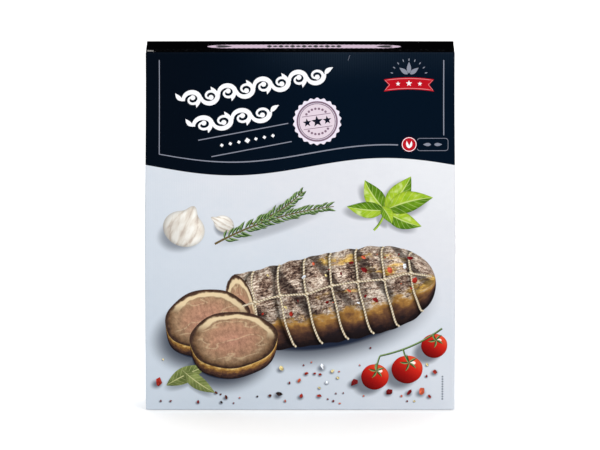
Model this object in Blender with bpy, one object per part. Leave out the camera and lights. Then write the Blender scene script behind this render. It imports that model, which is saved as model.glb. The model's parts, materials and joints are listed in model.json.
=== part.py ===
"""Shut folding carton of printed micro-flute board, standing upright.

The carton is one folded blank, so it is one solid.  X runs across the front
panel, -Y is the front, and the carton stands on its lower closure at Z = 0.

The upper closure is hinged on the front panel and tucked in behind the back
panel.  The lower closure is the same piece turned half a turn about X: hinged
on the back panel and tucked in behind the front panel.
"""
import math

import bmesh
import bpy
from mathutils import Matrix, Vector

# Carton, in metres
PANEL_WIDTH = 0.240        # front panel, from side panel to side panel
CARTON_HEIGHT = 0.2885     # floor to the flat of the upper closure
CARTON_DEPTH = 0.038       # front panel to back panel
BOARD = 0.0012             # thickness of the board

# Folds and edges
HINGE_RADIUS = 0.0023      # rolled fold between a panel and its closure
TUCK_RADIUS = 0.0015       # fold between a closure and its tucked flap
FLAP_RADIUS = 0.0027       # fold of each side panel, under the closure
CORNER_RADIUS = 0.0014     # creased upright corners
CLOSURE_PLAY = 0.0004      # a closure is this much narrower at each side
CLOSURE_CORNER = 0.0030    # rounded corners of the tucked end of a closure
TUCK_GAP = 0.0004          # between a tucked flap and the panel before it
TUCK_DEPTH = 0.0026        # how far down the tucked flap shows
RAW_EDGE_DROP = 0.0005     # a panel's cut edge lies this far inside a closure
PLY_OVERLAP = 0.0001       # a closure is sunk this far into what it lies on

# Open slit at the left end of the upper hinge, and the worn corner below it
SLIT_LENGTH = 0.0063
SLIT_DEPTH = 0.0040
SLIT_HEIGHT = 0.0008
SLIT_ROOF = 0.0007         # board left over the slit
WORN_CORNER = 0.0027

# Glued joint: the cut edge of the left side panel, seen from behind
JOINT_WIDTH = 0.0003
JOINT_DEPTH = 0.0005

# How the filled carton has settled
FACE_BULGE = 0.0012        # front and back panels, at their middle
SIDE_BULGE = 0.0005        # side panels, at their middle
FOOT_SPREAD = 0.0014       # the side panels stand out by this at the foot
SPREAD_START = 0.95        # share of the height where the spread begins
SPREAD_END = 0.35          # share of the height where it is complete
CLOSURE_CROWN = 0.0007     # rise of the upper closure at its middle
CROWN_ZONE = 0.0100        # depth below the upper closure that rises with it

# Mesh
ARC_STEPS = 5
CELL_X = 0.020
CELL_Y = 0.0095
CELL_Z = 0.0205
FLAT_ANGLE = math.radians(0.05)
PLACE_DIGITS = 7           # decimals of a metre that a vertex's place keeps
SHARP_ANGLE = math.radians(32)
REACH = 0.010              # cutters and slabs run this far past the carton

# Printed fields
HEADER_FOOT = 0.196        # height where the dark header ends at the side edges
LID_BLACK = (0.006, 0.006, 0.007, 1)
HEADER_NAVY = (0.004, 0.012, 0.030, 1)
FIELD_BLUE_GREY = (0.66, 0.72, 0.79, 1)

HALF_WIDTH = PANEL_WIDTH / 2
HALF_DEPTH = CARTON_DEPTH / 2
TUCK_FACE = HALF_DEPTH - BOARD - TUCK_GAP
PLY_TOP = CARTON_HEIGHT - BOARD + PLY_OVERLAP


def arc(centre, radius, start, end, steps=ARC_STEPS):
    """Points on an arc in a plane, with the angles in degrees."""
    points = []
    for step in range(steps + 1):
        angle = math.radians(start + (end - start) * step / steps)
        points.append((centre[0] + radius * math.cos(angle),
                       centre[1] + radius * math.sin(angle)))
    return points


def prism(name, outline, place, run):
    """Closed body: an outline set in space by place() and swept along run."""
    mesh = bpy.data.meshes.new(name)
    bm = bmesh.new()
    face = bm.faces.new([bm.verts.new(place(*point)) for point in outline])
    swept = bmesh.ops.extrude_face_region(bm, geom=[face])
    moved = [item for item in swept["geom"] if isinstance(item, bmesh.types.BMVert)]
    bmesh.ops.translate(bm, vec=Vector(run), verts=moved)
    bmesh.ops.recalc_face_normals(bm, faces=bm.faces)
    bm.to_mesh(mesh)
    bm.free()
    obj = bpy.data.objects.new(name, mesh)
    bpy.context.collection.objects.link(obj)
    return obj


def across(name, outline, half_width):
    """Prism with its outline in Y and Z, running along X."""
    return prism(name, outline, lambda y, z: (-half_width, y, z), (2 * half_width, 0, 0))


def upright(name, outline, low, high):
    """Prism with its outline in X and Y, running along Z."""
    return prism(name, outline, lambda x, y: (x, y, low), (0, 0, high - low))


def block(name, low, high):
    """Rectangular block between two corners."""
    outline = [(low[0], low[1]), (high[0], low[1]), (high[0], high[1]), (low[0], high[1])]
    return upright(name, outline, low[2], high[2])


def combine(target, tool, operation):
    """Applies one exact Boolean to target and removes the tool."""
    tool.hide_render = True
    tool.display_type = "WIRE"
    modifier = target.modifiers.new("combine", "BOOLEAN")
    modifier.operation = operation
    modifier.solver = "EXACT"
    modifier.object = tool
    graph = bpy.context.evaluated_depsgraph_get()
    mesh = bpy.data.meshes.new_from_object(target.evaluated_get(graph))
    target.modifiers.remove(modifier)
    target.data = mesh
    bpy.data.objects.remove(tool)


def turn_over(obj):
    """Half a turn about X through the carton's middle, from one closure to the other."""
    to_middle = Matrix.Translation((0, 0, CARTON_HEIGHT / 2))
    obj.data.transform(to_middle @ Matrix.Rotation(math.pi, 4, "X") @ to_middle.inverted())


def side_panels():
    """Core of the carton: side panels with their flaps folded in at both ends."""
    low, high = CARTON_HEIGHT - PLY_TOP, PLY_TOP
    edge = HALF_WIDTH - FLAP_RADIUS
    outline = (arc((edge, high - FLAP_RADIUS), FLAP_RADIUS, 0, 90)
               + arc((-edge, high - FLAP_RADIUS), FLAP_RADIUS, 90, 180)
               + arc((-edge, low + FLAP_RADIUS), FLAP_RADIUS, 180, 270)
               + arc((edge, low + FLAP_RADIUS), FLAP_RADIUS, 270, 360))
    depth = CARTON_DEPTH - 2 * (BOARD - PLY_OVERLAP)
    return prism("core", outline, lambda x, z: (x, -depth / 2, z), (0, depth, 0))


def face_panel(name):
    """Front panel: it runs up into the hinge, and its foot is a cut edge."""
    top = CARTON_HEIGHT - HINGE_RADIUS - BOARD
    return block(name, (-HALF_WIDTH, -HALF_DEPTH, RAW_EDGE_DROP),
                 (HALF_WIDTH, -HALF_DEPTH + BOARD, top))


def closure(name):
    """Upper closure: hinge, flat and tucked flap, bent from one board."""
    hinge = (-HALF_DEPTH + HINGE_RADIUS, CARTON_HEIGHT - HINGE_RADIUS)
    tuck = (TUCK_FACE - TUCK_RADIUS, CARTON_HEIGHT - TUCK_RADIUS)
    hem = CARTON_HEIGHT - HINGE_RADIUS - 2 * BOARD
    tip = CARTON_HEIGHT - TUCK_DEPTH - BOARD
    outline = ([(-HALF_DEPTH, hem)]
               + arc(hinge, HINGE_RADIUS, 180, 90)
               + arc(tuck, TUCK_RADIUS, 90, 0)
               + [(TUCK_FACE, tip), (TUCK_FACE - BOARD, tip)]
               + arc(tuck, TUCK_RADIUS - BOARD, 0, 90)
               + arc(hinge, HINGE_RADIUS - BOARD, 90, 180)
               + [(-HALF_DEPTH + BOARD, hem)])
    obj = across(name, outline, HALF_WIDTH + REACH)
    side = HALF_WIDTH - CLOSURE_PLAY
    corner_x, corner_y = side - CLOSURE_CORNER, TUCK_FACE - CLOSURE_CORNER
    plan = ([(-side, -HALF_DEPTH - REACH), (side, -HALF_DEPTH - REACH)]
            + arc((corner_x, corner_y), CLOSURE_CORNER, 0, 90)
            + arc((-corner_x, corner_y), CLOSURE_CORNER, 90, 180))
    trim = upright("plan", plan, hem - REACH, CARTON_HEIGHT + REACH)
    combine(obj, trim, "INTERSECT")
    return obj


def tuck_slot(name):
    """Gap between the tucked flap and the panel before it."""
    end = HALF_WIDTH - CLOSURE_PLAY - CLOSURE_CORNER
    return block(name, (-end, TUCK_FACE - BOARD / 2, CARTON_HEIGHT - TUCK_DEPTH),
                 (end, HALF_DEPTH - BOARD, CARTON_HEIGHT + REACH))


def upright_corners():
    """Plan of the whole carton, with its creased upright corners."""
    x, y = HALF_WIDTH - CORNER_RADIUS, HALF_DEPTH - CORNER_RADIUS
    plan = (arc((x, y), CORNER_RADIUS, 0, 90) + arc((-x, y), CORNER_RADIUS, 90, 180)
            + arc((-x, -y), CORNER_RADIUS, 180, 270) + arc((x, -y), CORNER_RADIUS, 270, 360))
    return upright("corners", plan, -REACH, CARTON_HEIGHT + REACH)


def hinge_slit():
    """Slit where the left end of the upper hinge has parted."""
    roof = CARTON_HEIGHT - SLIT_ROOF
    return block("slit", (-HALF_WIDTH - REACH, -HALF_DEPTH - REACH, roof - SLIT_HEIGHT),
                 (-HALF_WIDTH + SLIT_LENGTH, -HALF_DEPTH + SLIT_DEPTH, roof))


def worn_corner():
    """What is worn off the front panel's corner below the slit."""
    top = CARTON_HEIGHT - SLIT_ROOF - SLIT_HEIGHT / 2
    centre = (-HALF_WIDTH + WORN_CORNER, top - WORN_CORNER)
    outline = arc(centre, WORN_CORNER, 90, 180) + [
        (-HALF_WIDTH - REACH, centre[1]), (-HALF_WIDTH - REACH, top)]
    return prism("corner", outline, lambda x, z: (x, -HALF_DEPTH - REACH, z),
                 (0, REACH + 2 * BOARD, 0))


def glued_joint():
    """Line of the glued joint, one board in from the left back corner."""
    edge = -HALF_WIDTH + CORNER_RADIUS + JOINT_WIDTH
    return block("joint", (edge, HALF_DEPTH - JOINT_DEPTH, -REACH),
                 (edge + JOINT_WIDTH, HALF_DEPTH + REACH, CARTON_HEIGHT + REACH))


def smooth_step(value):
    """Eases from 0 to 1."""
    value = min(max(value, 0.0), 1.0)
    return value * value * (3 - 2 * value)


def settle(point):
    """Where a point of the crisp carton lies once it is filled and has stood."""
    u = point.x / HALF_WIDTH
    t = point.y / HALF_DEPTH
    h = point.z / CARTON_HEIGHT
    swell = 4 * h * (1 - h)
    spread = smooth_step((SPREAD_START - h) / (SPREAD_START - SPREAD_END))
    crown = smooth_step(1 - (CARTON_HEIGHT - point.z) / CROWN_ZONE)
    return Vector((
        point.x + u * (FOOT_SPREAD * spread + SIDE_BULGE * swell * (1 - t * t)),
        point.y + t * FACE_BULGE * swell * (1 - u * u),
        point.z + CLOSURE_CROWN * crown * (1 - u * u) * (1 - t * t)))


def put_in_order(mesh):
    """Gives the vertices round values and a fixed order, which a Boolean leaves to chance."""
    places = [tuple(round(value, PLACE_DIGITS) for value in vert.co) for vert in mesh.vertices]
    order = sorted(range(len(places)), key=lambda index: places[index])
    rank = {old: new for new, old in enumerate(order)}
    faces = []
    for polygon in mesh.polygons:
        ring = [rank[index] for index in polygon.vertices]
        first = ring.index(min(ring))
        faces.append(ring[first:] + ring[:first])
    ordered = bpy.data.meshes.new(mesh.name)
    ordered.from_pydata([places[index] for index in order], [], sorted(faces))
    return ordered


def cut_across(bm, normal, place):
    """Cuts every face along one plane."""
    bmesh.ops.bisect_plane(bm, geom=bm.verts[:] + bm.edges[:] + bm.faces[:],
                           plane_co=normal * place, plane_no=normal)


def cut_into_cells(bm):
    """Cuts the flat faces into cells, so that they can bulge, and along the header's foot."""
    spans = ((Vector((1, 0, 0)), -HALF_WIDTH, HALF_WIDTH, CELL_X),
             (Vector((0, 1, 0)), -HALF_DEPTH, HALF_DEPTH, CELL_Y),
             (Vector((0, 0, 1)), 0.0, CARTON_HEIGHT, CELL_Z))
    for normal, low, high, cell in spans:
        count = round((high - low) / cell)
        for index in range(1, count):
            cut_across(bm, normal, low + (high - low) * index / count)
    cut_across(bm, Vector((0, 0, 1)), HEADER_FOOT)


def ink(name, colour, roughness):
    """Material of one printed field."""
    material = bpy.data.materials.new(name)
    material.use_nodes = True
    shader = material.node_tree.nodes["Principled BSDF"]
    shader.inputs["Base Color"].default_value = colour
    shader.inputs["Roughness"].default_value = roughness
    shader.inputs["Metallic"].default_value = 0.0
    return material


def print_fields(mesh):
    """Black closures, a dark header all round and a pale field below it."""
    mesh.materials.clear()
    for material in (ink("lid_black", LID_BLACK, 0.5),
                     ink("header_navy", HEADER_NAVY, 0.4),
                     ink("field_blue_grey", FIELD_BLUE_GREY, 0.5)):
        mesh.materials.append(material)
    for face in mesh.polygons:
        if face.center.z > CARTON_HEIGHT - HINGE_RADIUS:
            face.material_index = 0
        elif face.center.z > HEADER_FOOT:
            face.material_index = 1
        else:
            face.material_index = 2


def make_carton():
    """Joins the folded panels into the one solid of the carton."""
    carton = side_panels()
    carton.name = "carton"
    back = face_panel("back")
    turn_over(back)
    lower_slot = tuck_slot("lower_slot")
    turn_over(lower_slot)
    lower = closure("lower_closure")
    turn_over(lower)
    combine(carton, face_panel("front"), "UNION")
    combine(carton, back, "UNION")
    combine(carton, tuck_slot("upper_slot"), "DIFFERENCE")
    combine(carton, lower_slot, "DIFFERENCE")
    combine(carton, closure("upper_closure"), "UNION")
    combine(carton, lower, "UNION")
    combine(carton, upright_corners(), "INTERSECT")
    combine(carton, hinge_slit(), "DIFFERENCE")
    combine(carton, worn_corner(), "DIFFERENCE")
    combine(carton, glued_joint(), "DIFFERENCE")

    carton.data = put_in_order(carton.data)
    bm = bmesh.new()
    bm.from_mesh(carton.data)
    bmesh.ops.dissolve_limit(bm, angle_limit=FLAT_ANGLE, verts=bm.verts, edges=bm.edges)
    cut_into_cells(bm)
    bmesh.ops.triangulate(bm, faces=bm.faces)
    for vert in bm.verts:
        vert.co = settle(vert.co)
    bm.to_mesh(carton.data)
    bm.free()
    carton.data.name = "carton"
    carton.data.shade_smooth()
    carton.data.set_sharp_from_angle(angle=SHARP_ANGLE)
    print_fields(carton.data)


def main():
    """Clears the scene and makes the carton."""
    for obj in list(bpy.data.objects):
        bpy.data.objects.remove(obj)
    make_carton()


main()
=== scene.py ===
import json
import math
import random
from types import SimpleNamespace

import bmesh
import bpy
from mathutils import Matrix, Vector, geometry

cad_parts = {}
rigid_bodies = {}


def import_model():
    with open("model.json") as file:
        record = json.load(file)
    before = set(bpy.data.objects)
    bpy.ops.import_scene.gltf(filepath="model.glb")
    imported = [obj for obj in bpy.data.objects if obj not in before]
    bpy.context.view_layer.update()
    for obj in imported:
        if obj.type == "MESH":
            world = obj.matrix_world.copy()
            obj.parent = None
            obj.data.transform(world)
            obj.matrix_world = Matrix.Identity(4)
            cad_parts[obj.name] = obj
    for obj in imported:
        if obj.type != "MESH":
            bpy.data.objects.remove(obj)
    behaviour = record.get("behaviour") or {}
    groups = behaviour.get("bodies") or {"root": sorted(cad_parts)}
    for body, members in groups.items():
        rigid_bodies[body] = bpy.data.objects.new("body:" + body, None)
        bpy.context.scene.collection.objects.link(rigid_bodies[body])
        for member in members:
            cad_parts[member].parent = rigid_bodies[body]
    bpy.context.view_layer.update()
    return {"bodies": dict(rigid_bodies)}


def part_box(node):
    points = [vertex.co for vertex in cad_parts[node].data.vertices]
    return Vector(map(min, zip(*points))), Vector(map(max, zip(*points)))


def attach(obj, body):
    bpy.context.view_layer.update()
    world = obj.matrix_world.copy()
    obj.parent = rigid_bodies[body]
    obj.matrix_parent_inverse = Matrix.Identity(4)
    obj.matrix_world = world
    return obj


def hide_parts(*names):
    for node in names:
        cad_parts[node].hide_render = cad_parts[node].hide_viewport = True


# A shut food carton of micro-flute board, standing, its front panel towards -Y.
# The board and the camera are in metres. Prints are in millimetres on their own panel.

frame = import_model()
bodyName = next(iter(frame["bodies"]))
mm = 0.001


def smoothStep(value):
    value = min(max(value, 0.0), 1.0)
    return value * value * (3 - 2 * value)


def between(ends, share):
    return ends[0] + (ends[1] - ends[0]) * share


def srgb(red, green, blue):
    # screen colour 0-255 to the linear colour that Blender wants
    linear = []
    for channel in (red, green, blue):
        share = channel / 255
        linear.append(share / 12.92 if share <= 0.04045 else ((share + 0.055) / 1.055) ** 2.4)
    return (*linear, 1.0)


class Wire:
    # what a node puts out: a number, a place or a colour. A sum with one adds a Math node
    def __init__(self, socket):
        self.socket = socket
        self.tree = socket.id_data

    def __add__(self, other):
        return calc("ADD", self, other)

    def __sub__(self, other):
        return calc("SUBTRACT", self, other)

    def __rsub__(self, other):
        return calc("SUBTRACT", other, self)

    def __mul__(self, other):
        return calc("MULTIPLY", self, other)

    def __truediv__(self, other):
        return calc("DIVIDE", self, other)

    def __pow__(self, other):
        return calc("POWER", self, other)

    def __abs__(self):
        return calc("ABSOLUTE", self)

    __radd__ = __add__
    __rmul__ = __mul__


def put(node, key, value):
    # a wire is linked to the socket, a plain value is set on it
    if isinstance(value, Wire):
        value.tree.links.new(value.socket, node.inputs[key])
    else:
        node.inputs[key].default_value = value


def addNode(tree, kind, inputs, **settings):
    node = tree.nodes.new(kind)
    for key, value in settings.items():
        setattr(node, key, value)
    for key, value in inputs.items():
        put(node, key, value)
    return node


def fromNode(tree, kind, inputs, output=0, **settings):
    # adds a node and gives the wire that comes out of it
    return Wire(addNode(tree, kind, inputs, **settings).outputs[output])


def calc(operation, *values):
    tree = next(value.tree for value in values if isinstance(value, Wire))
    return fromNode(tree, "ShaderNodeMath", dict(enumerate(values)), operation=operation)


def splitUp(place):
    # the three numbers of a place
    return [Wire(socket) for socket in addNode(place.tree, "ShaderNodeSeparateXYZ", {0: place}).outputs]


def mixColour(factor, first, second):
    return fromNode(factor.tree, "ShaderNodeMix", {0: factor, 6: first, 7: second}, 2, data_type="RGBA")


def shaded(colour, light):
    return fromNode(light.tree, "ShaderNodeVectorMath", {0: colour, "Scale": light}, operation="SCALE")


def ramp(factor, stops, interpolation="LINEAR"):
    # stops: (position, colour) from low to high
    node = addNode(factor.tree, "ShaderNodeValToRGB", {0: factor})
    node.color_ramp.interpolation = interpolation
    elements = node.color_ramp.elements
    for _ in stops[2:]:
        elements.new(0.5)
    for element, (position, colour) in zip(elements, stops):
        element.position = position
        element.color = colour
    return Wire(node.outputs[0])


def lightRamp(factor, stops):
    # a ramp of plain greys, to shade with
    return ramp(factor, [(position, (level, level, level, 1.0)) for position, level in stops])


def fade(value, start, end):
    # 0 at start, 1 at end, eased
    inputs = {"Value": value, "From Min": start, "From Max": end}
    return fromNode(value.tree, "ShaderNodeMapRange", inputs, interpolation_type="SMOOTHSTEP")


def grain(place, scale, detail=2.0, roughness=0.5, stretch=None):
    # noise around 0.5; scale is cells per metre
    if stretch:
        place = fromNode(place.tree, "ShaderNodeVectorMath", {0: place, 1: stretch}, operation="MULTIPLY")
    inputs = {"Vector": place, "Scale": scale, "Detail": detail, "Roughness": roughness}
    return fromNode(place.tree, "ShaderNodeTexNoise", inputs)


carton = dict(
    board=1.2 * mm,
    hingeRadius=2.3 * mm,      # rolled fold between a panel and its closure
    tuckRadius=1.5 * mm,
    flapRadius=2.7 * mm,
    cornerRadius=1.4 * mm,
    closurePlay=0.4 * mm,
    closureCorner=3.0 * mm,
    tuckGap=0.4 * mm,
    tuckDepth=2.6 * mm,
    rawEdgeDrop=0.5 * mm,
    plyOverlap=0.1 * mm,
    slitLength=6.3 * mm,       # the open slit at the left end of the upper fold
    slitDepth=4.0 * mm,
    slitHeight=0.8 * mm,
    slitRoof=0.7 * mm,
    wornCorner=2.7 * mm,
    jointWidth=0.3 * mm,
    jointDepth=0.5 * mm,
    faceBulge=1.2 * mm,
    sideBulge=0.5 * mm,
    footSpread=1.4 * mm,
    spreadStart=0.95,
    spreadEnd=0.35,
    closureCrown=0.7 * mm,
    crownZone=10 * mm,
    arcSteps=9,
    cell=4.0 * mm,             # size of the mesh that follows the bulge
    reach=10 * mm,             # how far a cutting block stands out
    near=0.05 * mm,            # a face this near a plane lies in it
    sharpAngle=32,             # degrees
)


def spreadAt(share, side):
    # how far a side panel stands out, at a share of the height and a share of the depth
    eased = smoothStep((carton["spreadStart"] - share) / (carton["spreadStart"] - carton["spreadEnd"]))
    return carton["footSpread"] * eased + carton["sideBulge"] * 4 * share * (1 - share) * (1 - side * side)


cartonLow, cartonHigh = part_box("carton")
height = cartonHigh.z - cartonLow.z - carton["closureCrown"]
halfDepth = (cartonHigh.y - cartonLow.y) / 2 - carton["faceBulge"]
halfWidth = (cartonHigh.x - cartonLow.x) / 2 - max(spreadAt(step / 100, 0) for step in range(101))
halfWidth = round(halfWidth / mm, 1) * mm
creaseHeight = height - carton["hingeRadius"]
tuckFace = halfDepth - carton["board"] - carton["tuckGap"]


def settle(point):
    # where a point of the crisp carton lies once it is filled
    u = point.x / halfWidth
    t = point.y / halfDepth
    h = point.z / height
    crown = smoothStep(1 - (height - point.z) / carton["crownZone"])
    return Vector((
        point.x + u * spreadAt(h, t),
        point.y + t * carton["faceBulge"] * 4 * h * (1 - h) * (1 - u * u),
        point.z + carton["closureCrown"] * crown * (1 - u * u) * (1 - t * t)))


def arc(centre, radius, start, end, steps=carton["arcSteps"]):
    points = []
    for step in range(steps + 1):
        angle = math.radians(start + (end - start) * step / steps)
        points.append((centre[0] + radius * math.cos(angle), centre[1] + radius * math.sin(angle)))
    return points


def roundOutline(left, right, low, high, radius, steps=carton["arcSteps"]):
    # a box with round corners, from the upper right one round to the lower right one
    centres = [(right - radius, high - radius), (left + radius, high - radius),
               (left + radius, low + radius), (right - radius, low + radius)]
    outline = []
    for quarter, centre in enumerate(centres):
        outline += arc(centre, radius, 90 * quarter, 90 * quarter + 90, steps)
    return outline


def fromBmesh(name, bm):
    mesh = bpy.data.meshes.new(name)
    bm.to_mesh(mesh)
    bm.free()
    obj = bpy.data.objects.new(name, mesh)
    bpy.context.scene.collection.objects.link(obj)
    return obj


def prism(name, outline, place, run):
    bm = bmesh.new()
    face = bm.faces.new([bm.verts.new(place(*point)) for point in outline])
    swept = bmesh.ops.extrude_face_region(bm, geom=[face])
    moved = [item for item in swept["geom"] if isinstance(item, bmesh.types.BMVert)]
    bmesh.ops.translate(bm, vec=Vector(run), verts=moved)
    bmesh.ops.recalc_face_normals(bm, faces=bm.faces)
    return fromBmesh(name, bm)


def upright(name, outline, low, high):
    return prism(name, outline, lambda x, y: (x, y, low), (0, 0, high - low))


def block(name, low, high):
    outline = [(low[0], low[1]), (high[0], low[1]), (high[0], high[1]), (low[0], high[1])]
    return upright(name, outline, low[2], high[2])


def combine(target, tool, operation):
    modifier = target.modifiers.new("combine", "BOOLEAN")
    modifier.operation = operation
    modifier.solver = "EXACT"
    modifier.object = tool
    graph = bpy.context.evaluated_depsgraph_get()
    mesh = bpy.data.meshes.new_from_object(target.evaluated_get(graph))
    target.modifiers.remove(modifier)
    target.data = mesh
    bpy.data.objects.remove(tool)


def turnOver(obj):
    # half a turn about X: the lower closure is the upper one turned over
    middle = Matrix.Translation((0, 0, height / 2))
    obj.data.transform(middle @ Matrix.Rotation(math.pi, 4, "X") @ middle.inverted())
    return obj


def sidePanels():
    high = height - carton["board"] + carton["plyOverlap"]
    outline = roundOutline(-halfWidth, halfWidth, height - high, high, carton["flapRadius"])
    front = -halfDepth + carton["board"] - carton["plyOverlap"]
    return prism("core", outline, lambda x, z: (x, front, z), (0, -2 * front, 0))


def facePanel():
    top = creaseHeight - carton["board"]
    return block("panel", (-halfWidth, -halfDepth, carton["rawEdgeDrop"]),
                 (halfWidth, -halfDepth + carton["board"], top))


def closure():
    board, hingeRadius, tuckRadius = carton["board"], carton["hingeRadius"], carton["tuckRadius"]
    hinge = (-halfDepth + hingeRadius, creaseHeight)
    tuck = (tuckFace - tuckRadius, height - tuckRadius)
    hem = creaseHeight - 2 * board
    tip = height - carton["tuckDepth"] - board
    outline = ([(-halfDepth, hem)] + arc(hinge, hingeRadius, 180, 90) + arc(tuck, tuckRadius, 90, 0)
               + [(tuckFace, tip), (tuckFace - board, tip)] + arc(tuck, tuckRadius - board, 0, 90)
               + arc(hinge, hingeRadius - board, 90, 180) + [(-halfDepth + board, hem)])
    wide = halfWidth + carton["reach"]
    obj = prism("closure", outline, lambda y, z: (-wide, y, z), (2 * wide, 0, 0))
    side, radius = halfWidth - carton["closurePlay"], carton["closureCorner"]
    start = -halfDepth - carton["reach"]
    plan = ([(-side, start), (side, start)] + arc((side - radius, tuckFace - radius), radius, 0, 90)
            + arc((-side + radius, tuckFace - radius), radius, 90, 180))
    combine(obj, upright("plan", plan, hem - carton["reach"], height + carton["reach"]), "INTERSECT")
    return obj


def tuckSlot():
    end = halfWidth - carton["closurePlay"] - carton["closureCorner"]
    return block("slot", (-end, tuckFace - carton["board"] / 2, height - carton["tuckDepth"]),
                 (end, halfDepth - carton["board"], height + carton["reach"]))


def uprightCorners():
    plan = roundOutline(-halfWidth, halfWidth, -halfDepth, halfDepth, carton["cornerRadius"])
    return upright("corners", plan, -carton["reach"], height + carton["reach"])


def hingeSlit():
    roof = height - carton["slitRoof"]
    reach = carton["reach"]
    return block("slit", (-halfWidth - reach, -halfDepth - reach, roof - carton["slitHeight"]),
                 (-halfWidth + carton["slitLength"], -halfDepth + carton["slitDepth"], roof))


def wornCorner():
    top = height - carton["slitRoof"] - carton["slitHeight"] / 2
    radius, reach = carton["wornCorner"], carton["reach"]
    centre = (-halfWidth + radius, top - radius)
    outline = arc(centre, radius, 90, 180)
    outline += [(-halfWidth - reach, centre[1]), (-halfWidth - reach, top)]
    run = (0, reach + 2 * carton["board"], 0)
    return prism("corner", outline, lambda x, z: (x, -halfDepth - reach, z), run)


def gluedJoint():
    edge = -halfWidth + carton["cornerRadius"] + carton["jointWidth"]
    return block("joint", (edge, halfDepth - carton["jointDepth"], -carton["reach"]),
                 (edge + carton["jointWidth"], halfDepth + carton["reach"], height + carton["reach"]))


def isRawEdge(centre, normal):
    # cut edges of the board show its white core
    near = carton["near"]
    upper = centre.z > height / 2
    z = centre.z if upper else height - centre.z
    y = centre.y if upper else -centre.y
    facing = normal.z if upper else -normal.z
    if z > height - carton["board"] and abs(normal.x) > 0.15 and y < tuckFace + near:
        return abs(centre.x) < halfWidth - carton["closurePlay"] / 2
    if y > halfDepth - carton["board"] - near and facing > 0.9:
        return z > height - 2 * carton["rawEdgeDrop"]
    roof = height - carton["slitRoof"]
    inSlit = (centre.x < -halfWidth + carton["slitLength"] + near
              and centre.y < -halfDepth + carton["slitDepth"] + near
              and roof - carton["slitHeight"] - near < centre.z < roof + near)
    return inSlit and (abs(normal.z) > 0.9 or normal.y < -0.9)


def foldCarton():
    obj = sidePanels()
    for makePanel, operation in ((facePanel, "UNION"), (tuckSlot, "DIFFERENCE"), (closure, "UNION")):
        combine(obj, makePanel(), operation)
        combine(obj, turnOver(makePanel()), operation)
    combine(obj, uprightCorners(), "INTERSECT")
    for makeCut in (hingeSlit, wornCorner, gluedJoint):
        combine(obj, makeCut(), "DIFFERENCE")
    obj.name = "cartonBoard"
    bm = bmesh.new()
    bm.from_mesh(obj.data)
    bmesh.ops.dissolve_limit(bm, angle_limit=math.radians(0.05), verts=bm.verts, edges=bm.edges)
    spans = ((Vector((1, 0, 0)), -halfWidth, halfWidth), (Vector((0, 1, 0)), -halfDepth, halfDepth),
             (Vector((0, 0, 1)), 0.0, height))
    for axis, low, high in spans:
        count = round((high - low) / carton["cell"])
        places = [low + (high - low) * index / count for index in range(1, count)]
        if axis.z:
            places.append(creaseHeight)
        for place in places:
            bmesh.ops.bisect_plane(bm, geom=bm.verts[:] + bm.edges[:] + bm.faces[:],
                                   plane_co=axis * place, plane_no=axis)
    bmesh.ops.triangulate(bm, faces=[face for face in bm.faces if len(face.verts) > 4])
    bm.normal_update()
    for face in bm.faces:
        centre = face.calc_center_median()
        face.material_index = 1 if isRawEdge(centre, face.normal) else 2 if centre.z > creaseHeight else 0
        face.smooth = True
    for vert in bm.verts:
        vert.co = settle(vert.co)
    obj.data.materials.clear()
    bm.to_mesh(obj.data)
    bm.free()
    obj.data.set_sharp_from_angle(angle=math.radians(carton["sharpAngle"]))
    return obj


finish = dict(
    flutePitch=1.85 * mm,
    fluteRelief=0.02 * mm,
    fluteDrift=1.5,            # how far a flute wanders, in radians
    fibreRelief=0.008 * mm,
    roughness=0.42,
    roughnessRange=0.16,
    specular=0.025,            # satin ink: little gloss head on
    rawRoughness=0.9,
    raw=[(0.25, srgb(222, 220, 218)), (0.8, srgb(250, 248, 246))],
)

fluteTurn = 2 * math.pi / finish["flutePitch"]


def newMaterial(name):
    material = bpy.data.materials.new(name)
    material.use_nodes = True
    return material, material.node_tree, material.node_tree.nodes["Principled BSDF"]


def inkMaterial(name, paint, specular=finish["specular"]):
    # paint(art) gives the colour; art holds the place on the carton and the patch's own u, v and seed
    material, tree, shader = newMaterial(name)
    place = fromNode(tree, "ShaderNodeTexCoord", {}, "Object")
    x, y, z = splitUp(place)
    u, v, seed = splitUp(fromNode(tree, "ShaderNodeAttribute", {}, "Vector", attribute_name="local"))
    put(shader, "Base Color", paint(SimpleNamespace(place=place, x=x, y=y, z=z, u=u, v=v, seed=seed)))
    # upright flutes telegraph through the print, over a fine paper grain
    wave = calc("SINE", x * fluteTurn + grain(place, 40, 1.0) * finish["fluteDrift"])
    patchy = grain(place, 18, 1.0) * 1.6 - 0.2
    fibres = grain(place, 2200, 2.0) * finish["fibreRelief"]
    relief = wave * patchy * (finish["fluteRelief"] / 2) + fibres
    bump = {"Height": relief, "Distance": 1.0, "Strength": 1.0}
    put(shader, "Normal", fromNode(tree, "ShaderNodeBump", bump))
    uneven = (grain(place, 60, 3.0) - 0.5) * finish["roughnessRange"]
    put(shader, "Roughness", uneven + finish["roughness"])
    put(shader, "Specular IOR Level", specular)
    return material


def rawBoardMaterial():
    material, tree, shader = newMaterial("rawBoard")
    place = fromNode(tree, "ShaderNodeTexCoord", {}, "Object")
    wave = calc("SINE", splitUp(place)[0] * fluteTurn)
    put(shader, "Base Color", ramp(wave * 0.25 + grain(place, 1500, 3.0, 0.7), finish["raw"], "EASE"))
    put(shader, "Roughness", finish["rawRoughness"])
    return material


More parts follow.
